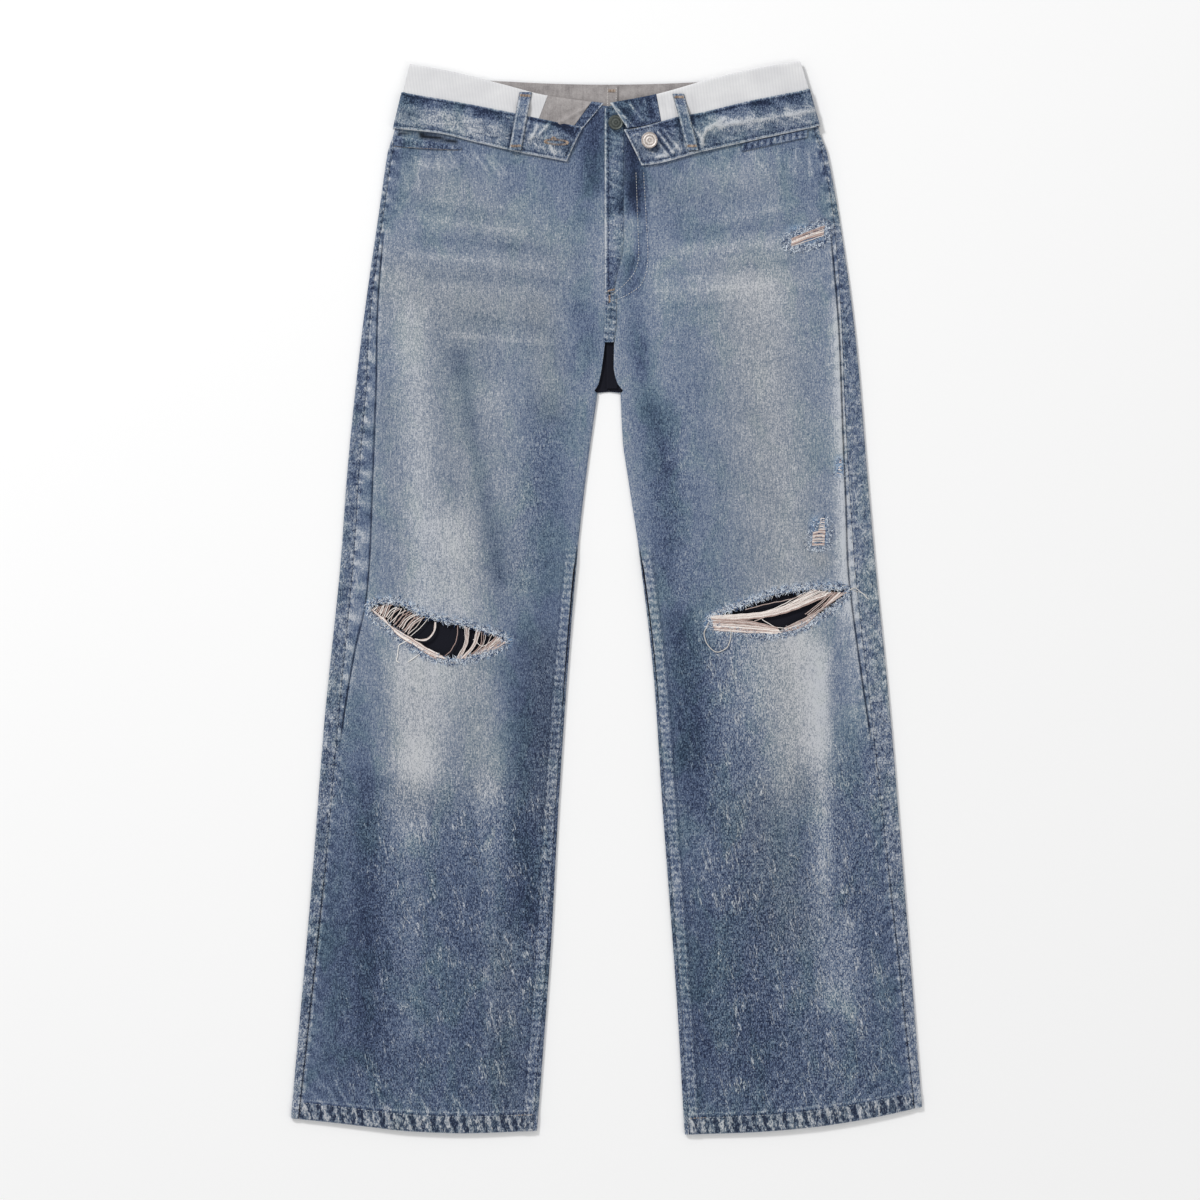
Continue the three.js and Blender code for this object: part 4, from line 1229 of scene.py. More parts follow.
flyArch = 4.6
flyStations = [(2, 20, -1, flyArch), (13, 29, -1, flyArch * 0.75), (25, 38, -1, flyArch * 0.3),
               (49.9, 54.8, -1, 0)]
points, _ = turnedPoints("right", flyStations, 70, 26, False, cloth["denim"])
x, along = points[..., 0], points[..., 1]
flyMarks = [(24, 512, 28, 500, 1.0, 0.2), (46, 519, 52, 504, 1.2, 0.12), (8, 510, 18, 498, 1.2, 0.3),
            (38, 518, 39, 508, 1.0, 0.16), (22, 514, 36, 496, 1.5, 0.34), (12, 506, 26, 490, 1.3, 0.28),
            (30, 519, 34, 506, 1.2, 0.2), (42, 520, 46, 500, 2.4, -0.1), (16, 500, 20, 492, 1.2, 0.2),
            (35, 500, 44, 497, 1.3, 0.2)]
points[..., 2] += marks(x, along, scaledMarks(flyMarks, 1.4, 2.6))
share = np.linspace(0, 1, 70)[:, None]
fade = 0.24 + 1.3 * marks(x, along, flyMarks) + 0.72 * bell(share, 0.05) + 0.07 * wander(x * 0.2, 99) \
    - 0.16 * bell(share - 0.11, 0.03)
pieces["turnedFly"] = clothPiece("turned_fly_right_cloth", points, 1.0, "waist", "denim_dark",
                                 ["turned_fly_right"], {"fade": fade})

# Inner and outer end of each band at its top and low edge; top, bottom and width of each loop
bandEnds = {"left": ((-26, -43), (-215, -224)), "right": ((16.5, 35), (210, 221))}
beltLoops = {"left": ((-85.5, 525.5), (-96.5, 465), 13), "right": ((73, 523.8), (88.2, 465), 12)}
for side, (inner, outer) in bandEnds.items():
    pieces["band_" + side] = bandPiece(side, inner, outer)
for side, (top, bottom, width) in beltLoops.items():
    pieces["loop_" + side] = loopPiece(side, top, bottom, width)

v = np.linspace(0, 1, 14)[:, None]
share = np.linspace(-1, 1, 80)[None, :]
x = share * mix(212, 220, v)
bandBack = grid(x, 517 + 7 * (x / 215) ** 2 - v * 38, 0.02 + 0 * x)
pieces["band_back"] = clothPiece("waistband_back_cloth", bandBack, 1.1, "waist", "denim_back",
                                 ["waistband_back"], {"fade": 0.42 + 0.1 * wander(x * 0.1, 103)},
                                 faceUp=False)


# The fly: its lapped strip with the worn edge, and the short seam below it
def flyHeight(y):
    return frontTop(y) + crownAt(1.0, y) + cloth["seamGap"] + 0.05 + cloth["denim"]


y = rowsOf((509, 318, 1.6))[:, None]
share = np.linspace(0, 1, 22)[None, :]
taper = smooth(y, 314, 374)
x = mix(-3.2 + 0.5 * wander(y * 0.03, 107), mix(6, 16, taper), share)
fromLap = x + 3.2
lift = flyHeight(y) + 0.0 * x - 0.8 * smooth(share, 0.82, 1.0) + 0.3 * wander(y * 0.06 + x * 0.05, 109)
lift = lift + 0.35 * bell(fromLap - 1.4, 1.2) - 0.3 * bell(fromLap - 3.2, 0.8)
lift = lift + marks(x, y + 0 * x, [(2, 432, 13, 426, 1.4, 0.5), (2, 432, 8, 424, 1.2, 0.4),
                                   (4, 402, 12, 390, 2.4, 0.4)])
fade = track((509, 0.24), (480, 0.36), (440, 0.42), (424, 0.28), (404, 0.2), (395, 0.54), (372, 0.6),
             (358, 0.48), (345, 0.28), (318, 0.32))(y) + 0 * x
fade = fade + 0.66 * bell(fromLap, 1.7) - 0.16 * bell(fromLap - 3.6, 1.0)
fade = fade + 0.12 * bell(fromLap - 10, 4.5)
fade = fade + marks(x, y + 0 * x, [(2, 432, 13, 426, 1.3, 0.24), (2, 432, 8, 424, 1.1, 0.2),
                                 (-1, 470, 6, 455, 3, 0.08), (6, 350, 12, 326, 5, 0.08)])
fade = fade + 0.07 * np.sin(y * 0.8 + 2 * wander(y * 0.1, 113)) * bell(fromLap, 3.5)
pieces["fly"] = clothPiece("fly_strip_cloth", grid(x, y + 0 * x, lift), 1.1, "waist", "denim_front",
                           ["fly_strip"], {"fade": fade, "ladder": 0.1 * bell(fromLap, 3.5)})
y = rowsOf((316, 266, 1.6))[:, None]
share = np.linspace(0, 1, 12)[None, :]
taper = smooth(y, 260, 290)
x = mix(mix(-4.5, -3.2, taper), mix(5.5, 8.5, taper), share)
lift = flyHeight(y) + 0 * x - 0.5 * (2 * share - 1) ** 4 + 0.12 * np.sin(y * 0.9 + x)
fade = 0.5 + 0.3 * bell(share, 0.08) + 0.1 * bell(1 - share, 0.1)
pieces["frontSeam"] = clothPiece("centre_front_seam_cloth", grid(x, y + 0 * x, lift), 1.0, "waist",
                                 "denim_front", ["centre_front_seam"], {"fade": fade, "ladder": 0.14})

# Centre-back strip inside the waist
y = rowsOf((530, 218, 2.4))[:, None]
share = np.linspace(0, 1, 14)[None, :]
x = mix(-1.6, 10, share)
along = y + smooth(y, 505, 530) * (backTopLine(x) + 0.4 - 530)
lift = backFloor(y) + cloth["denim"] + cloth["seamGap"] + cloth["bag"] + 0 * x
lift = lift + 0.5 * bell(share - 0.12, 0.06) + 0.5 * bell(share - 0.88, 0.06)
pieces["backSeam"] = clothPiece("centre_back_seam_cloth", grid(x, along, lift), 0.9, "reverse",
                                "denim_reverse", ["centre_back_seam"])

# Slanted pocket mouths: a bound edge at each side just below the waistband
x = np.linspace(-223, -153, 60)[:, None]
row = np.linspace(0, 1, 12)[None, :]
upper = mix(481, 469.5, (x + 223) / 70)
depth = mix(10.5, 3, ((x + 223) / 70) ** 2)
rung = np.sin((x + 223) * 1.45 + 0.6 * row)
lift = cloth["waistLoft"] + cloth["seamGap"] + 0.1 + cloth["denim"] + 0 * x * row
lift = lift + 0.3 * np.sin(np.pi * row) + 0.16 * rung * np.sin(np.pi * row)
fade = 0.4 + 0.22 * rung * bell(row - 0.45, 0.3) + 0.2 * bell(row, 0.1) + 0.1 * wander(x * 0.2, 119)
pieces["pocket_left"] = clothPiece("pocket_edge_left_cloth", grid(x + 0 * row, upper - row * depth, lift),
                                   1.1, "waist", "denim_front", ["pocket_edge_left"],
                                   {"fade": fade + 0 * x * row})
x = np.linspace(139, 207, 60)[:, None]
rung = np.sin((x - 139) * 0.95 + 1.2 * row)
along = bandLowEdge["right"](x) - 1 - row * 7.5
lift = cloth["waistLoft"] + cloth["seamGap"] + 0.1 + cloth["denim"] + 0.25 * np.sin(np.pi * row) \
    + 0.3 * rung * np.sin(np.pi * row)
fade = 0.44 + 0.3 * rung * bell(row - 0.5, 0.35) + 0.1 * wander(x * 0.2, 121)
pieces["pocket_right"] = clothPiece("pocket_edge_right_cloth", grid(x + 0 * row, along, lift), 1.1,
                                    "waist", "denim_front", ["pocket_edge_right"], {"fade": fade})


# Things laid on the cloth: their heights come from the sheets under them
def heightOver(*things):
    vertices, faces = [], []
    for thing in things:
        base = len(vertices)
        vertices.extend(v.co[:] for v in thing.data.vertices)
        faces.extend(tuple(base + i for i in p.vertices) for p in thing.data.polygons)
    tree = BVHTree.FromPolygons(vertices, faces)

    def read(x, y, missing=None):
        spot = Vector(((x + shiftX) * millimetre, (y + shiftY) * millimetre, 0.1))
        hit = tree.ray_cast(spot, Vector((0, 0, -1)))[0]
        return missing if hit is None else hit.z / millimetre

    return read


def joined(name, shapes, material, slot):
    # One mesh from many small ones: each is (vertices, faces)
    count = 0
    vertices, faces, tones = [], [], []
    toneDice = random.Random(len(shapes))
    for spots, polygons in shapes:
        vertices.append(spots)
        tones.extend([toneDice.random()] * len(spots))
        faces.extend(tuple(i + count for i in p) for p in polygons)
        count += len(spots)
    thing = meshObject(name, np.vstack(vertices), faces, {"tone": tones})
    thing.data.materials.append(finishes[material])
    smoothShade(thing, 70)
    return dress(thing, slot)


def templateBead(segments=5, rings=3):
    # A small bead that every stitch is made from
    bpy.ops.object.select_all(action="DESELECT")
    bpy.ops.mesh.primitive_uv_sphere_add(segments=segments, ring_count=rings, radius=1.0, location=(0, 0, 0))
    bead = bpy.context.object
    spots = np.array([v.co[:] for v in bead.data.vertices])
    polygons = [tuple(p.vertices) for p in bead.data.polygons]
    bpy.data.objects.remove(bead)
    return spots[:, [2, 0, 1]], polygons


beadSpots, beadFaces = templateBead()


def stitch(x, y, z, angle, length, width, tall=None, tilt=0.0):
    # One stitch: a bead drawn out along its own direction
    tall = width * 0.6 if tall is None else tall
    spots = beadSpots * [length / 2, width / 2, tall]
    turned = spots.copy()
    turned[:, 2] += spots[:, 0] * math.tan(tilt)
    turned[:, 0] = spots[:, 0] * math.cos(angle) - spots[:, 1] * math.sin(angle)
    turned[:, 1] = spots[:, 0] * math.sin(angle) + spots[:, 1] * math.cos(angle)
    return turned + [x, y, z], beadFaces


def stitchRow(points, read, dice, pitch, length, width, sink):
    line = openLine(points, pitch)
    made = []
    for (x0, y0), (x1, y1) in zip(line[:-1], line[1:]):
        x, y = (x0 + x1) / 2, (y0 + y1) / 2
        angle = math.atan2(y1 - y0, x1 - x0)
        z = read(x, y)
        if z is None:
            continue
        ahead = read(x + math.cos(angle), y + math.sin(angle), z)
        tilt = max(-0.6, min(0.6, math.atan(ahead - z)))
        jitter = dice.uniform(-0.1, 0.1)
        made.append(stitch(x, y, z - sink, angle + jitter, length, width, tilt=tilt))
    return made


def tube(path, radius, sides=5, taper=False):
    path = np.array(path, float)
    ahead = np.gradient(path, axis=0)
    ahead /= np.linalg.norm(ahead, axis=1)[:, None] + 1e-9
    side = np.cross(ahead, [0, 0, 1.0])
    side /= np.linalg.norm(side, axis=1)[:, None] + 1e-9
    up = np.cross(side, ahead)
    wide = np.full(len(path), radius)
    if taper:
        wide = radius * np.linspace(1, 0.25, len(path))
    rings = []
    for k in range(sides):
        angle = 2 * math.pi * k / sides
        rings.append(path + (side * math.cos(angle) + up * math.sin(angle)) * wide[:, None])
    spots = np.stack(rings, axis=1).reshape(-1, 3)
    faces = []
    for i in range(len(path) - 1):
        for k in range(sides):
            a, b = i * sides + k, i * sides + (k + 1) % sides
            faces.append((a, b, b + sides, a + sides))
    faces.append(tuple(range(sides - 1, -1, -1)))
    faces.append(tuple((len(path) - 1) * sides + k for k in range(sides)))
    return spots, faces


def laidThread(points, read, radius, sag=0.5, lift=0.0, *, dice):
    # A thread over cloth and over the open hole, where it hangs between the edges
    line = openLine(points, 1.5)
    heights = np.array([np.nan if (z := read(x, y)) is None else z + radius * 0.7 for x, y in line])
    run = np.arange(len(line))
    found = ~np.isnan(heights)
    if not found.any():
        heights[:] = cloth["threadHeight"]
        found[:] = True
    filled = np.interp(run, run[found], heights[found])
    gap = ~found
    reach = np.minimum(np.cumsum(gap), np.cumsum(gap[::-1])[::-1])
    filled = filled - sag * np.where(gap, np.minimum(reach / 6, 1), 0) + lift
    wobble = dice.uniform(0, 6)
    line = line + 0.16 * np.stack([np.sin(run * 0.9 + wobble), np.cos(run * 0.7 + wobble)], axis=1)
    return tube(np.column_stack([line, filled]), radius)


def across(start, end, share):
    return (mix(start[0], end[0], share), mix(start[1], end[1], share))


def fan(tops, bottoms, count, read, radius, dice, bow=0.0, skip=(), loose=0.4, mid=None):
    # Threads side by side from one edge to the other. Tops and bottoms are where the first and last
    # thread meet each edge, and mid is where they pass half way.
    made = []
    for k in range(count):
        if k in skip:
            continue
        t = k / max(count - 1, 1)
        a = across(tops[0], tops[1], t + dice.uniform(-0.3, 0.3) / count)
        b = across(bottoms[0], bottoms[1], t + dice.uniform(-0.3, 0.3) / count)
        nx, ny = a[1] - b[1], b[0] - a[0]
        length = math.hypot(nx, ny) + 1e-6
        push = bow + dice.uniform(-loose, loose)
        middle = ((a[0] + b[0]) / 2 + nx / length * push, (a[1] + b[1]) / 2 + ny / length * push)
        if mid:
            middle = across(mid[0], mid[1], t + dice.uniform(-0.3, 0.3) / count)
        made.append(laidThread([a, middle, b], read, radius * dice.uniform(0.75, 1.2), dice=dice))
    return made


def tufts(line, read, count, reachOut, dice, radius=0.4):
    # Short broken fibres that stand all round a torn edge
    made = []
    ends = np.roll(line, -1, axis=0)
    lengths = np.linalg.norm(ends - line, axis=1)
    run = np.concatenate([[0], np.cumsum(lengths)])
    for k in range(count):
        at = (k + dice.random()) / count * run[-1]
        i = min(int(np.searchsorted(run, at, side="right")) - 1, len(line) - 1)
        t = (at - run[i]) / max(lengths[i], 1e-6)
        x, y = mix(line[i], ends[i], t)
        dx, dy = (ends[i] - line[i]) / max(lengths[i], 1e-6)
        nx, ny = dy, -dx
        shift = dice.uniform(-1.6, 5.2)
        x, y = x + nx * shift, y + ny * shift
        z = read(x, y, cloth["threadHeight"])
        angle = math.atan2(ny, nx) + dice.gauss(0, 1.1) + (math.pi if dice.random() < 0.4 else 0)
        length = dice.uniform(*reachOut)
        curl = dice.uniform(-1.2, 1.2)
        path = []
        for s in (0, 0.33, 0.67, 1):
            turn = angle + curl * s
            path.append((x + math.cos(turn) * length * s, y + math.sin(turn) * length * s,
                         z + 0.15 + dice.uniform(0.2, 0.9) * s * (1.4 - s)))
        made.append(tube(path, radius, 3, taper=True))
    return made


print("stage: torn knees")
knees = {}
dice = random.Random(7)
# Fibres round each rip: how many, their lengths, their radius and finish
edgeFluff = {"fluff": (1500, (2.2, 5.0), 0.55, "blueFluff"), "pale_fluff": (300, (1.6, 3.6), 0.4, "cream")}
for side, line in rips.items():
    read = heightOver(pieces["front_" + side])
    if np.sum(line[:, 0] * np.roll(line[:, 1], -1) - line[:, 1] * np.roll(line[:, 0], -1)) < 0:
        line = line[::-1]
    for kind, (amount, reachOut, radius, finish) in edgeFluff.items():
        name = f"knee_{side}_{kind}"
        knees[name] = joined(name, tufts(line, read, amount, reachOut, dice, radius), finish, "denim_front")

read = heightOver(pieces["front_left"])
threads = fan([(-228, -6), (-190, -20)], [(-237, -15), (-208, -37)], 15, read, 0.5, dice, bow=-2.2,
              skip=(2, 6))
threads += fan([(-243, -10), (-226, -5.5)], [(-247, -12), (-233, -24)], 9, read, 0.55, dice, bow=0.6)
threads += fan([(-219, -9), (-188, -22)], [(-230, -24), (-205, -40)], 9, read, 0.42, dice, bow=1.2)
for k in range(9):
    slide = k * 0.62
    threads.append(laidThread([(-246 + slide, -11 - slide * 0.9), (-236 + slide * 0.8, -22),
                               (-219, -33 - slide), (-203, -42.5 - slide * 1.2), (-185, -54 - slide),
                               (-170, -61.5 - slide * 0.3)],
                              read, 0.48, 0.2, lift=0.1 + 0.07 * (k % 3), dice=dice))
threads += fan([(-206, -41), (-204, -46)], [(-176, -58), (-179, -63)], 6, read, 0.6, dice, bow=-1.0)
for k in range(3):
    threads.append(laidThread([(-180 + k * 0.5, -25), (-181 + k * 0.4, -34), (-186, -41 - k * 0.5),
                               (-193, -43.5 - k * 0.4), (-201, -42.5)], read, 0.6, 0.0, lift=0.5 + 0.25 * k,
                               dice=dice))
threads.append(laidThread([(-156, -28), (-157.5, -43), (-163, -54), (-170, -61)], read, 0.42, 0.2,
                          dice=dice))
threads += fan([(-149, -29.5), (-144.5, -31)], [(-158, -63), (-153.5, -63)], 5, read, 0.46, dice,
               mid=[(-149, -47), (-146, -47)])
threads += fan([(-137, -33), (-133, -34.5)], [(-153, -63), (-149, -62.5)], 5, read, 0.46, dice,
               mid=[(-141, -49), (-138, -49)])
threads += fan([(-131, -35), (-127, -36.5)], [(-146, -62), (-143, -61.5)], 3, read, 0.36, dice,
               mid=[(-133, -49), (-130, -49)])
threads.append(laidThread([(-140, -43), (-131, -50), (-123, -46), (-116, -40)], read, 0.36, 0.2, dice=dice))
threads += fan([(-115, -40), (-106.5, -46)], [(-141, -60), (-118, -53)], 10, read, 0.5, dice, bow=0.8)
threads += fan([(-120, -38), (-111, -41)], [(-133, -58.5), (-126, -56)], 4, read, 0.4, dice, bow=0.6)
knees["left_threads"] = joined("knee_left_threads", threads, "pink", "denim_front")
loose = [laidThread([(-206, -43), (-212, -46), (-217.5, -49.5), (-218.5, -58), (-220, -65), (-217, -67)],
                    read, 0.5, lift=0.3, dice=dice),
         laidThread([(-196, -58), (-202, -62.5), (-208, -66.5)], read, 0.42, lift=0.3, dice=dice)]
knees["left_loose"] = joined("knee_left_loose", loose, "cream", "denim_front")

read = heightOver(pieces["front_right"])
threads = fan([(107, -19), (108, -25)], [(214, 9), (236, 5)], 11, read, 0.5, dice,
              mid=[(171, -12.5), (177, -17.5)])
threads += fan([(108, -20), (108, -22)], [(206, 6), (228, 3)], 4, read, 0.44, dice,
               mid=[(164, -14), (168, -17)])
threads += fan([(108, -22), (110, -33)], [(176, -31), (180, -36)], 15, read, 0.56, dice,
               mid=[(146, -24), (148, -36)])
threads += fan([(110, -26), (113, -33)], [(165, -36), (176, -37)], 6, read, 0.5, dice,
               mid=[(140, -31), (142, -35)])
threads.append(laidThread([(143, -12), (166, -6), (190, -1), (215, 7.5)], read, 0.44, 0.2, lift=0.2,
                          dice=dice))
threads.append(laidThread([(152, -24), (168, -18), (184, -12), (204, -3), (222, 3)], read, 0.44, 0.2,
                          lift=0.2, dice=dice))
threads.append(laidThread([(160, -22), (174, -30), (190, -31), (204, -26)], read, 0.42, 0.2, lift=0.2,
                          dice=dice))
threads += fan([(178, -36), (184, -31)], [(236, 6), (248, 6)], 9, read, 0.5, dice,
               mid=[(206, -27), (212, -17)])
threads += fan([(205, -17), (212, -20)], [(232, 7), (244, 4)], 5, read, 0.42, dice, bow=-0.6)
knees["right_threads"] = joined("knee_right_threads", threads, "pink", "denim_front")
loose = [laidThread([(105, -25), (100, -37), (104, -49), (113, -56), (124, -51), (128, -37), (126, -30)],
                    read, 0.52, lift=0.3, dice=dice),
         laidThread([(250, 8), (258, 10), (271, -1)], read, 0.42, lift=0.3, dice=dice),
         laidThread([(252, 9), (262, 6), (268, 3)], read, 0.3, lift=0.3, dice=dice)]
knees["right_loose"] = joined("knee_right_loose", loose, "cream", "denim_front")

# Small torn places on the right leg
small = fan([(190.5, 366), (191, 373.5)], [(224, 377), (225.5, 387)], 11, read, 0.46, dice, bow=0.7,
            loose=0.8)
small += fan([(212, 55), (213, 68)], [(225, 55), (226, 69)], 15, read, 0.5, dice, bow=0.5, loose=1.0)
small += fan([(218, 68), (221, 82)], [(226, 68), (225, 82)], 11, read, 0.44, dice, bow=0.4, loose=0.8)
small += fan([(238, 130), (241, 143)], [(243, 129), (243, 144)], 5, read, 0.42, dice)
knees["small_threads"] = joined("small_torn_threads", small, "pink", "denim_front")
fuzz = tufts(closedLine([(189, 365), (208, 367), (227, 375), (227, 389), (208, 381), (190, 375)], 8), read,
             420, (2.4, 6.4), dice, 0.5)
fuzz += tufts(closedLine([(211, 53), (227, 53), (229, 68), (227, 81), (220, 80), (212, 66)], 8), read, 200,
              (1.6, 4.0), dice, 0.45)
fuzz += tufts(closedLine([(237, 128), (244, 128), (243, 145)], 8), read, 40, (1.4, 2.8), dice)
knees["small_fluff"] = joined("small_torn_fluff", fuzz, "blueFluff", "denim_front")

print("stage: stitching")
dice = random.Random(11)


def down(side, inset, start, stop, count, edge="outer"):
    # A line down the leg, a set distance in from the outseam (outer) or out from the inner edge
    leg = legs[side]
    line = []
    for y in np.linspace(start, stop, count):
        if edge == "outer":
            reach = sideReach(leg, y) - leg["outseam"](y) - cloth["seamGap"] - inset
        else:
            reach = leg["inseam"](y) + innerTuck(y) + inset
        line.append((leg["sign"] * float(reach), float(frontAlong(leg, reach, y))))
    return line


rows = {"cream": [], "navy": [], "tan": [], "stone": []}


def sew(colour, points, read, pitch=3.2, length=2.3, width=0.75, sink=0.05):
    rows[colour] += stitchRow(points, read, dice, pitch, length, width, sink)


for side, leg in legs.items():
    readFront = heightOver(pieces["front_" + side], pieces["back_" + side])
    for inset in (1.5, -1.9):
        sew("stone", down(side, inset, 300, -536, 40), readFront, width=0.62, length=2.1)
    for inset in (2.0, 8.6):
        sew("stone", down(side, inset, 44, -538, 30, "inner"), readFront, width=0.62)
    hemRow = []
    for reach in np.linspace(float(leg["inseam"](-520)) + 6, float(leg["side"](-520)) - 3, 14):
        hemRow.append((leg["sign"] * reach, 17.0 + float(leg["hem"](reach))))
    sew("stone", hemRow, readFront, pitch=3.4, length=2.5, width=0.7, sink=-0.1)
    sew("tan", hemRow[:2], readFront, pitch=3.4, length=2.6, width=0.8, sink=-0.15)

# Where the band's long stitch lines start and end, along its top and its low edge
bandRows = {"left": ((-213, -31), (-221, -47)), "right": ((21, 216), (40, 218))}
for side, (topRow, lowRow) in bandRows.items():
    read = heightOver(pieces["band_" + side])
    inner, sign = bandEnds[side][0], legs[side]["sign"]
    xTop = np.linspace(*topRow, 16)
    sew("navy", [(x, float(bandTopEdge[side](x)) - 2.6) for x in xTop], read, length=2.4, width=0.85)
    xLow = np.linspace(*lowRow, 16)
    sew("navy", [(x, float(bandLowEdge[side](x)) + 3.2) for x in xLow], read, length=2.4, width=0.75)
    inTop = (inner[0] + sign * 3.4, float(bandTopEdge[side](inner[0])) - 3)
    inLow = (inner[1] + sign * 3.4, float(bandLowEdge[side](inner[1])) + 3)
    sew("navy", [inTop, inLow], read, length=2.2, width=0.75)

for side, (top, bottom, width) in beltLoops.items():
    read = heightOver(pieces["loop_" + side])
    for s in (-0.36, 0.36):
        sew("stone", [(top[0] + s * width, top[1] - 2), (bottom[0] + s * width, bottom[1] + 2)], read,
            pitch=2.6, length=1.9, width=0.65)
    for spot, share in ((top, 0.06), (bottom, 0.93)):
        x0, y0 = mix(top[0], bottom[0], share), mix(top[1], bottom[1], share)
        for k in range(13):
            x = x0 + (k / 12 - 0.5) * (width - 3)
            z = read(x, y0)
            if z is not None:
                y, angle = y0 + dice.uniform(-0.3, 0.3), 1.57 + dice.uniform(-0.25, 0.25)
                rows["tan"].append(stitch(x, y, z + 0.15, angle, 3.4, 0.85, 0.5))

read = heightOver(pieces["band_left"])
buttonhole = {"x": -53.6, "y": 473.5, "halfLength": 12.0, "halfWidth": 2.5, "slope": 0.055, "stitches": 46}


def tack(x, y, read, missing, rise, angle, length, width, tall):
    # One tight stitch raised over the cloth under it
    rows["tan"].append(stitch(x, y, read(x, y, missing) + rise, angle, length, width, tall))


for k in range(buttonhole["stitches"]):
    # Stitches set side by side round a long slot
    angle = 2 * math.pi * k / buttonhole["stitches"]
    x = buttonhole["x"] + buttonhole["halfLength"] * math.cos(angle) - 0.02 * math.sin(angle)
    drop = buttonhole["slope"] * (x - buttonhole["x"])
    y = buttonhole["y"] + buttonhole["halfWidth"] * math.sin(angle) - drop
    turned = math.atan2(math.sin(angle) * 4, math.cos(angle))
    tack(x, y, read, 9.4, 0.2, turned, 2.7, 0.95, 0.6)
for k in range(9):
    angle = math.pi * k / 8
    x, y = -56.5 + 2.2 * math.cos(angle), 476.2 + 2.4 * math.sin(angle)
    tack(x, y, read, 9.4, 0.3, angle, 2.2, 0.9, 0.6)

read = heightOver(pieces["fly"], pieces["frontSeam"], pieces["front_left"], pieces["front_right"])
sew("navy", [(0.6, 500), (0.8, 440), (0.3, 380), (0.7, 322)], read, pitch=3.0, length=2.1, width=0.8)
sew("cream", [(29.1, 443), (30.7, 398), (31.8, 357), (28, 340), (17.7, 326.6), (4, 315)], read, pitch=3.0,
    length=1.9, width=0.7, sink=-0.05)
sew("cream", [(36.9, 443), (39.5, 398), (41.3, 350), (34.9, 327), (22.9, 317), (13, 312), (1, 308)], read,
    pitch=3.0, length=1.9, width=0.7, sink=-0.05)
for x in (-0.6, 4.6):
    sew("stone", [(x, 314), (x + 0.6, 290), (x + 0.2, 268)], read, pitch=3.0, length=2.0, width=0.7)
for x0, y0, angle in ((3.4, 320, 1.3), (1.6, 311, 0.0)):
    for k in range(9):
        x, y = x0 + (k / 8 - 0.5) * 7 * math.sin(angle), y0 + (k / 8 - 0.5) * 7 * math.cos(angle)
        tack(x, y, read, 6.0, 0.15, angle + 0.1, 2.4, 0.85, 0.5)

read = heightOver(pieces["backSeam"], pieces["back_left"], pieces["back_right"])
for x in (-0.2, 8.6):
    sew("cream", [(x, 531), (x, 500)], read, pitch=2.6, length=2.0, width=0.7)
for k in range(8):
    tack(0.8 + k * 0.95, 527.5, read, 4.2, 0.2, 1.57, 4.0, 0.9, 0.5)
read = heightOver(pieces["facing"])
sew("cream", [(-6.6, 509), (-17.6, 497), (-28.6, 487)], read, pitch=2.6, length=2.0, width=0.7)
sew("navy", [(-10.2, 509), (-20, 498), (-31, 488)], read, pitch=3, length=2.0, width=0.7)
read = heightOver(pieces["turnedFly"])
sew("cream", [(5.4, 508), (10, 501), (17, 491)], read, pitch=2.6, length=2.0, width=0.8)
read = heightOver(pieces["front_left"], pieces["pocket_left"])
sew("tan", [(-222, 469.4), (-190, 467.2), (-156, 465.6)], read, pitch=2.4, length=2.2, width=0.5)

for colour, shapes in rows.items():
    pieces["stitches_" + colour] = joined("stitching_" + colour, shapes, colour, "denim_front")

print("stage: buttons")


def turnedButton(name, node, steps, finish, slot):
    # A cap shaped from a disc by steps, each an inset as a share of its radius and a rise in millimetres,
    # with a neck under it
    low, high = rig.box(node)
    middle = (low + high) / 2
    radius = (high.x - low.x) / 2
    tall = high.z - low.z
    capTall = tall * 0.42
    bpy.ops.object.select_all(action="DESELECT")
    bpy.ops.mesh.primitive_cylinder_add(vertices=56, radius=radius, depth=capTall,
                                        location=(middle.x, middle.y, high.z - capTall / 2 - 0.0002))
    button = bpy.context.object
    button.name = name
    bpy.ops.object.transform_apply(location=True, rotation=True, scale=True)
    bpy.ops.object.mode_set(mode="EDIT")
    rises = [(inset, rise * millimetre) for inset, rise in steps]
    neck = ((0.42, 0.0), (0.05, (tall - capTall) * 0.96))
    for sense, cuts in ((1, rises), (-1, neck)):
        bpy.ops.mesh.select_all(action="DESELECT")
        shape = bmesh.from_edit_mesh(button.data)
        for face in shape.faces:
            face.select = face.normal.z * sense > 0.9
        bmesh.update_edit_mesh(button.data)
        for inset, rise in cuts:
            bpy.ops.mesh.inset(thickness=inset * radius, depth=0)
            if rise:
                bpy.ops.transform.translate(value=(0, 0, rise * sense))
    bpy.ops.object.mode_set(mode="OBJECT")
    soft = button.modifiers.new("edges", "BEVEL")
    soft.width = 0.00022
    soft.segments = 2
    soft.limit_method = "ANGLE"
    soft.angle_limit = math.radians(28)
    bpy.ops.object.modifier_apply(modifier=soft.name)
    smoothShade(button, 40)
    button.data.materials.append(finishes[finish])
    return dress(button, slot, [node])


pieces["waistButton"] = turnedButton("waist_button_cap", "waist_button",
                                     ((0.08, 0.25), (0.1, -0.1), (0.1, -0.45), (0.06, 0.3),
                                      (0.12, 0.0), (0.06, -0.3), (0.12, 0.0), (0.06, 0.28), (0.1, -0.1)),
                                     "paleMetal", "button_pale")
pieces["flyButton"] = turnedButton("fly_button_cap", "fly_button",
                                   ((0.1, 0.15), (0.12, -0.35), (0.16, 0.1), (0.2, 0.2),
                                    (0.16, 0.12)), "darkMetal", "button_dark")


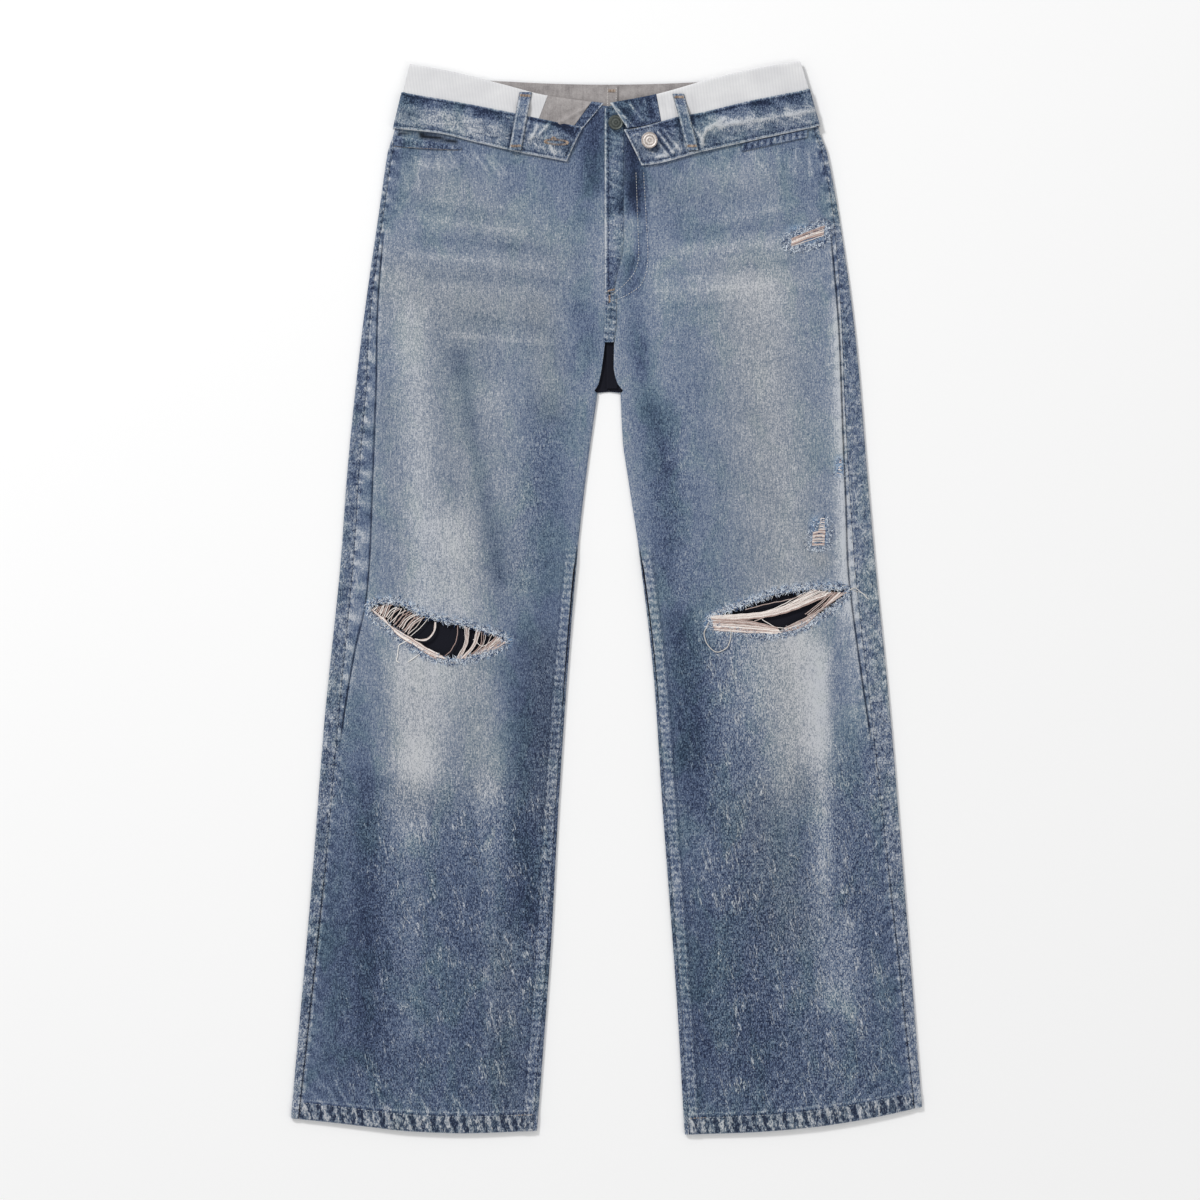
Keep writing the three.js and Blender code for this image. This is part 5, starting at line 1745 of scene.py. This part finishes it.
# Floor, light and camera
print("stage: set")
bpy.ops.object.select_all(action="DESELECT")
bpy.ops.mesh.primitive_plane_add(size=12, location=(0, 0, -0.0004))
floor = bpy.context.object
floor.name = "floor"
floorFinish = Finish("paleFloor", 0.9)
floorFinish.colour("ffffff")
floor.data.materials.append(floorFinish.material)
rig.stage(floor)

lightSet = {"world": 0.56, "key": 128.0, "fill": 14.0}
world = bpy.data.worlds.new("studio")
bpy.context.scene.world = world
world.use_nodes = True
world.node_tree.nodes["Background"].inputs["Color"].default_value = (1, 1, 1, 1)
world.node_tree.nodes["Background"].inputs["Strength"].default_value = lightSet["world"]


def softLight(name, place, size, power):
    data = bpy.data.lights.new(name, "AREA")
    data.shape = "DISK"
    data.size = size
    data.energy = power
    light = bpy.data.objects.new(name, data)
    light.location = place
    light.rotation_euler = (-Vector(place)).to_track_quat("-Z", "Y").to_euler()
    bpy.context.scene.collection.objects.link(light)


softLight("keyLight", (-2.4, 3.1, 3.2), 0.9, lightSet["key"])
softLight("fillLight", (1.8, -1.8, 3.0), 2.0, lightSet["fill"])

cameraData = bpy.data.cameras.new("camera")
cameraData.lens = 100
cameraData.sensor_width = 36
camera = bpy.data.objects.new("camera", cameraData)
viewWide = 1.248
camera.location = (-0.0067, -0.0021, viewWide * 100 / 36 + 0.004)
bpy.context.scene.collection.objects.link(camera)
bpy.context.scene.camera = camera
bpy.context.scene.view_settings.view_transform = "Standard"


# Each sheet as it was cut: width, length and flat area in metres, how it is held and what it lies on.
# The pieces sewn on to it or worked in it go with it.
print("stage: sheets")
cuts = {
    "back_left": (0.31, 1.11, 0.29, "folded", ["floor"]),
    "back_right": (0.31, 1.12, 0.29, "folded", ["floor"]),
    "front_left": (0.26, 1.10, 0.25, "laid", ["back_left_cloth"]),
    "front_right": (0.26, 1.10, 0.25, "laid", ["back_right_cloth"]),
    "bag_left": (0.15, 0.055, 0.0075, "folded", ["front_left_cloth"]),
    "bag_right": (0.15, 0.06, 0.0083, "folded", ["front_right_cloth"]),
    "greyTurn": (0.048, 0.054, 0.0022, "folded", ["front_left_cloth"]),
    "facing": (0.012, 0.04, 0.0004, "folded", ["front_left_cloth"]),
    "turnedFly": (0.05, 0.045, 0.0014, "folded", ["front_right_cloth"]),
    "band_left": (0.2, 0.042, None, "folded", ["front_left_cloth"]),
    "band_right": (0.2, 0.042, None, "folded", ["front_right_cloth"]),
    "loop_left": (0.013, 0.065, None, "laid", ["waistband_left_cloth"]),
    "loop_right": (0.012, 0.063, None, "laid", ["waistband_right_cloth"]),
    "band_back": (0.44, 0.04, None, "laid", ["floor"]),
    "fly": (0.02, 0.195, 0.0035, "laid", ["front_left_cloth", "front_right_cloth"]),
    "frontSeam": (0.013, 0.052, None, "laid", ["front_left_cloth", "front_right_cloth"]),
    "backSeam": (0.012, 0.315, None, "laid", ["back_left_cloth", "back_right_cloth"]),
    "pocket_left": (0.07, 0.012, 0.0006, "laid", ["front_left_cloth"]),
    "pocket_right": (0.07, 0.01, None, "laid", ["front_right_cloth"]),
}
sewnOn = {
    "front_left": [knees[k] for k in knees if "left" in k],
    "front_right": [knees[k] for k in knees if "left" not in k]
    + [pieces["stitches_" + colour] for colour in rows],
}
for key, (width, length, area, held, under) in cuts.items():
    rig.sheet(pieces[key], flat=(width, length), area=area, held=held, rests_on=under,
             with_pieces=sewnOn.get(key, []))

with open("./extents.json", "w") as out:
    json.dump({"cad": [list(corner) for corner in cadBounds],
               "visual": [list(corner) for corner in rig.bounds()]}, out)
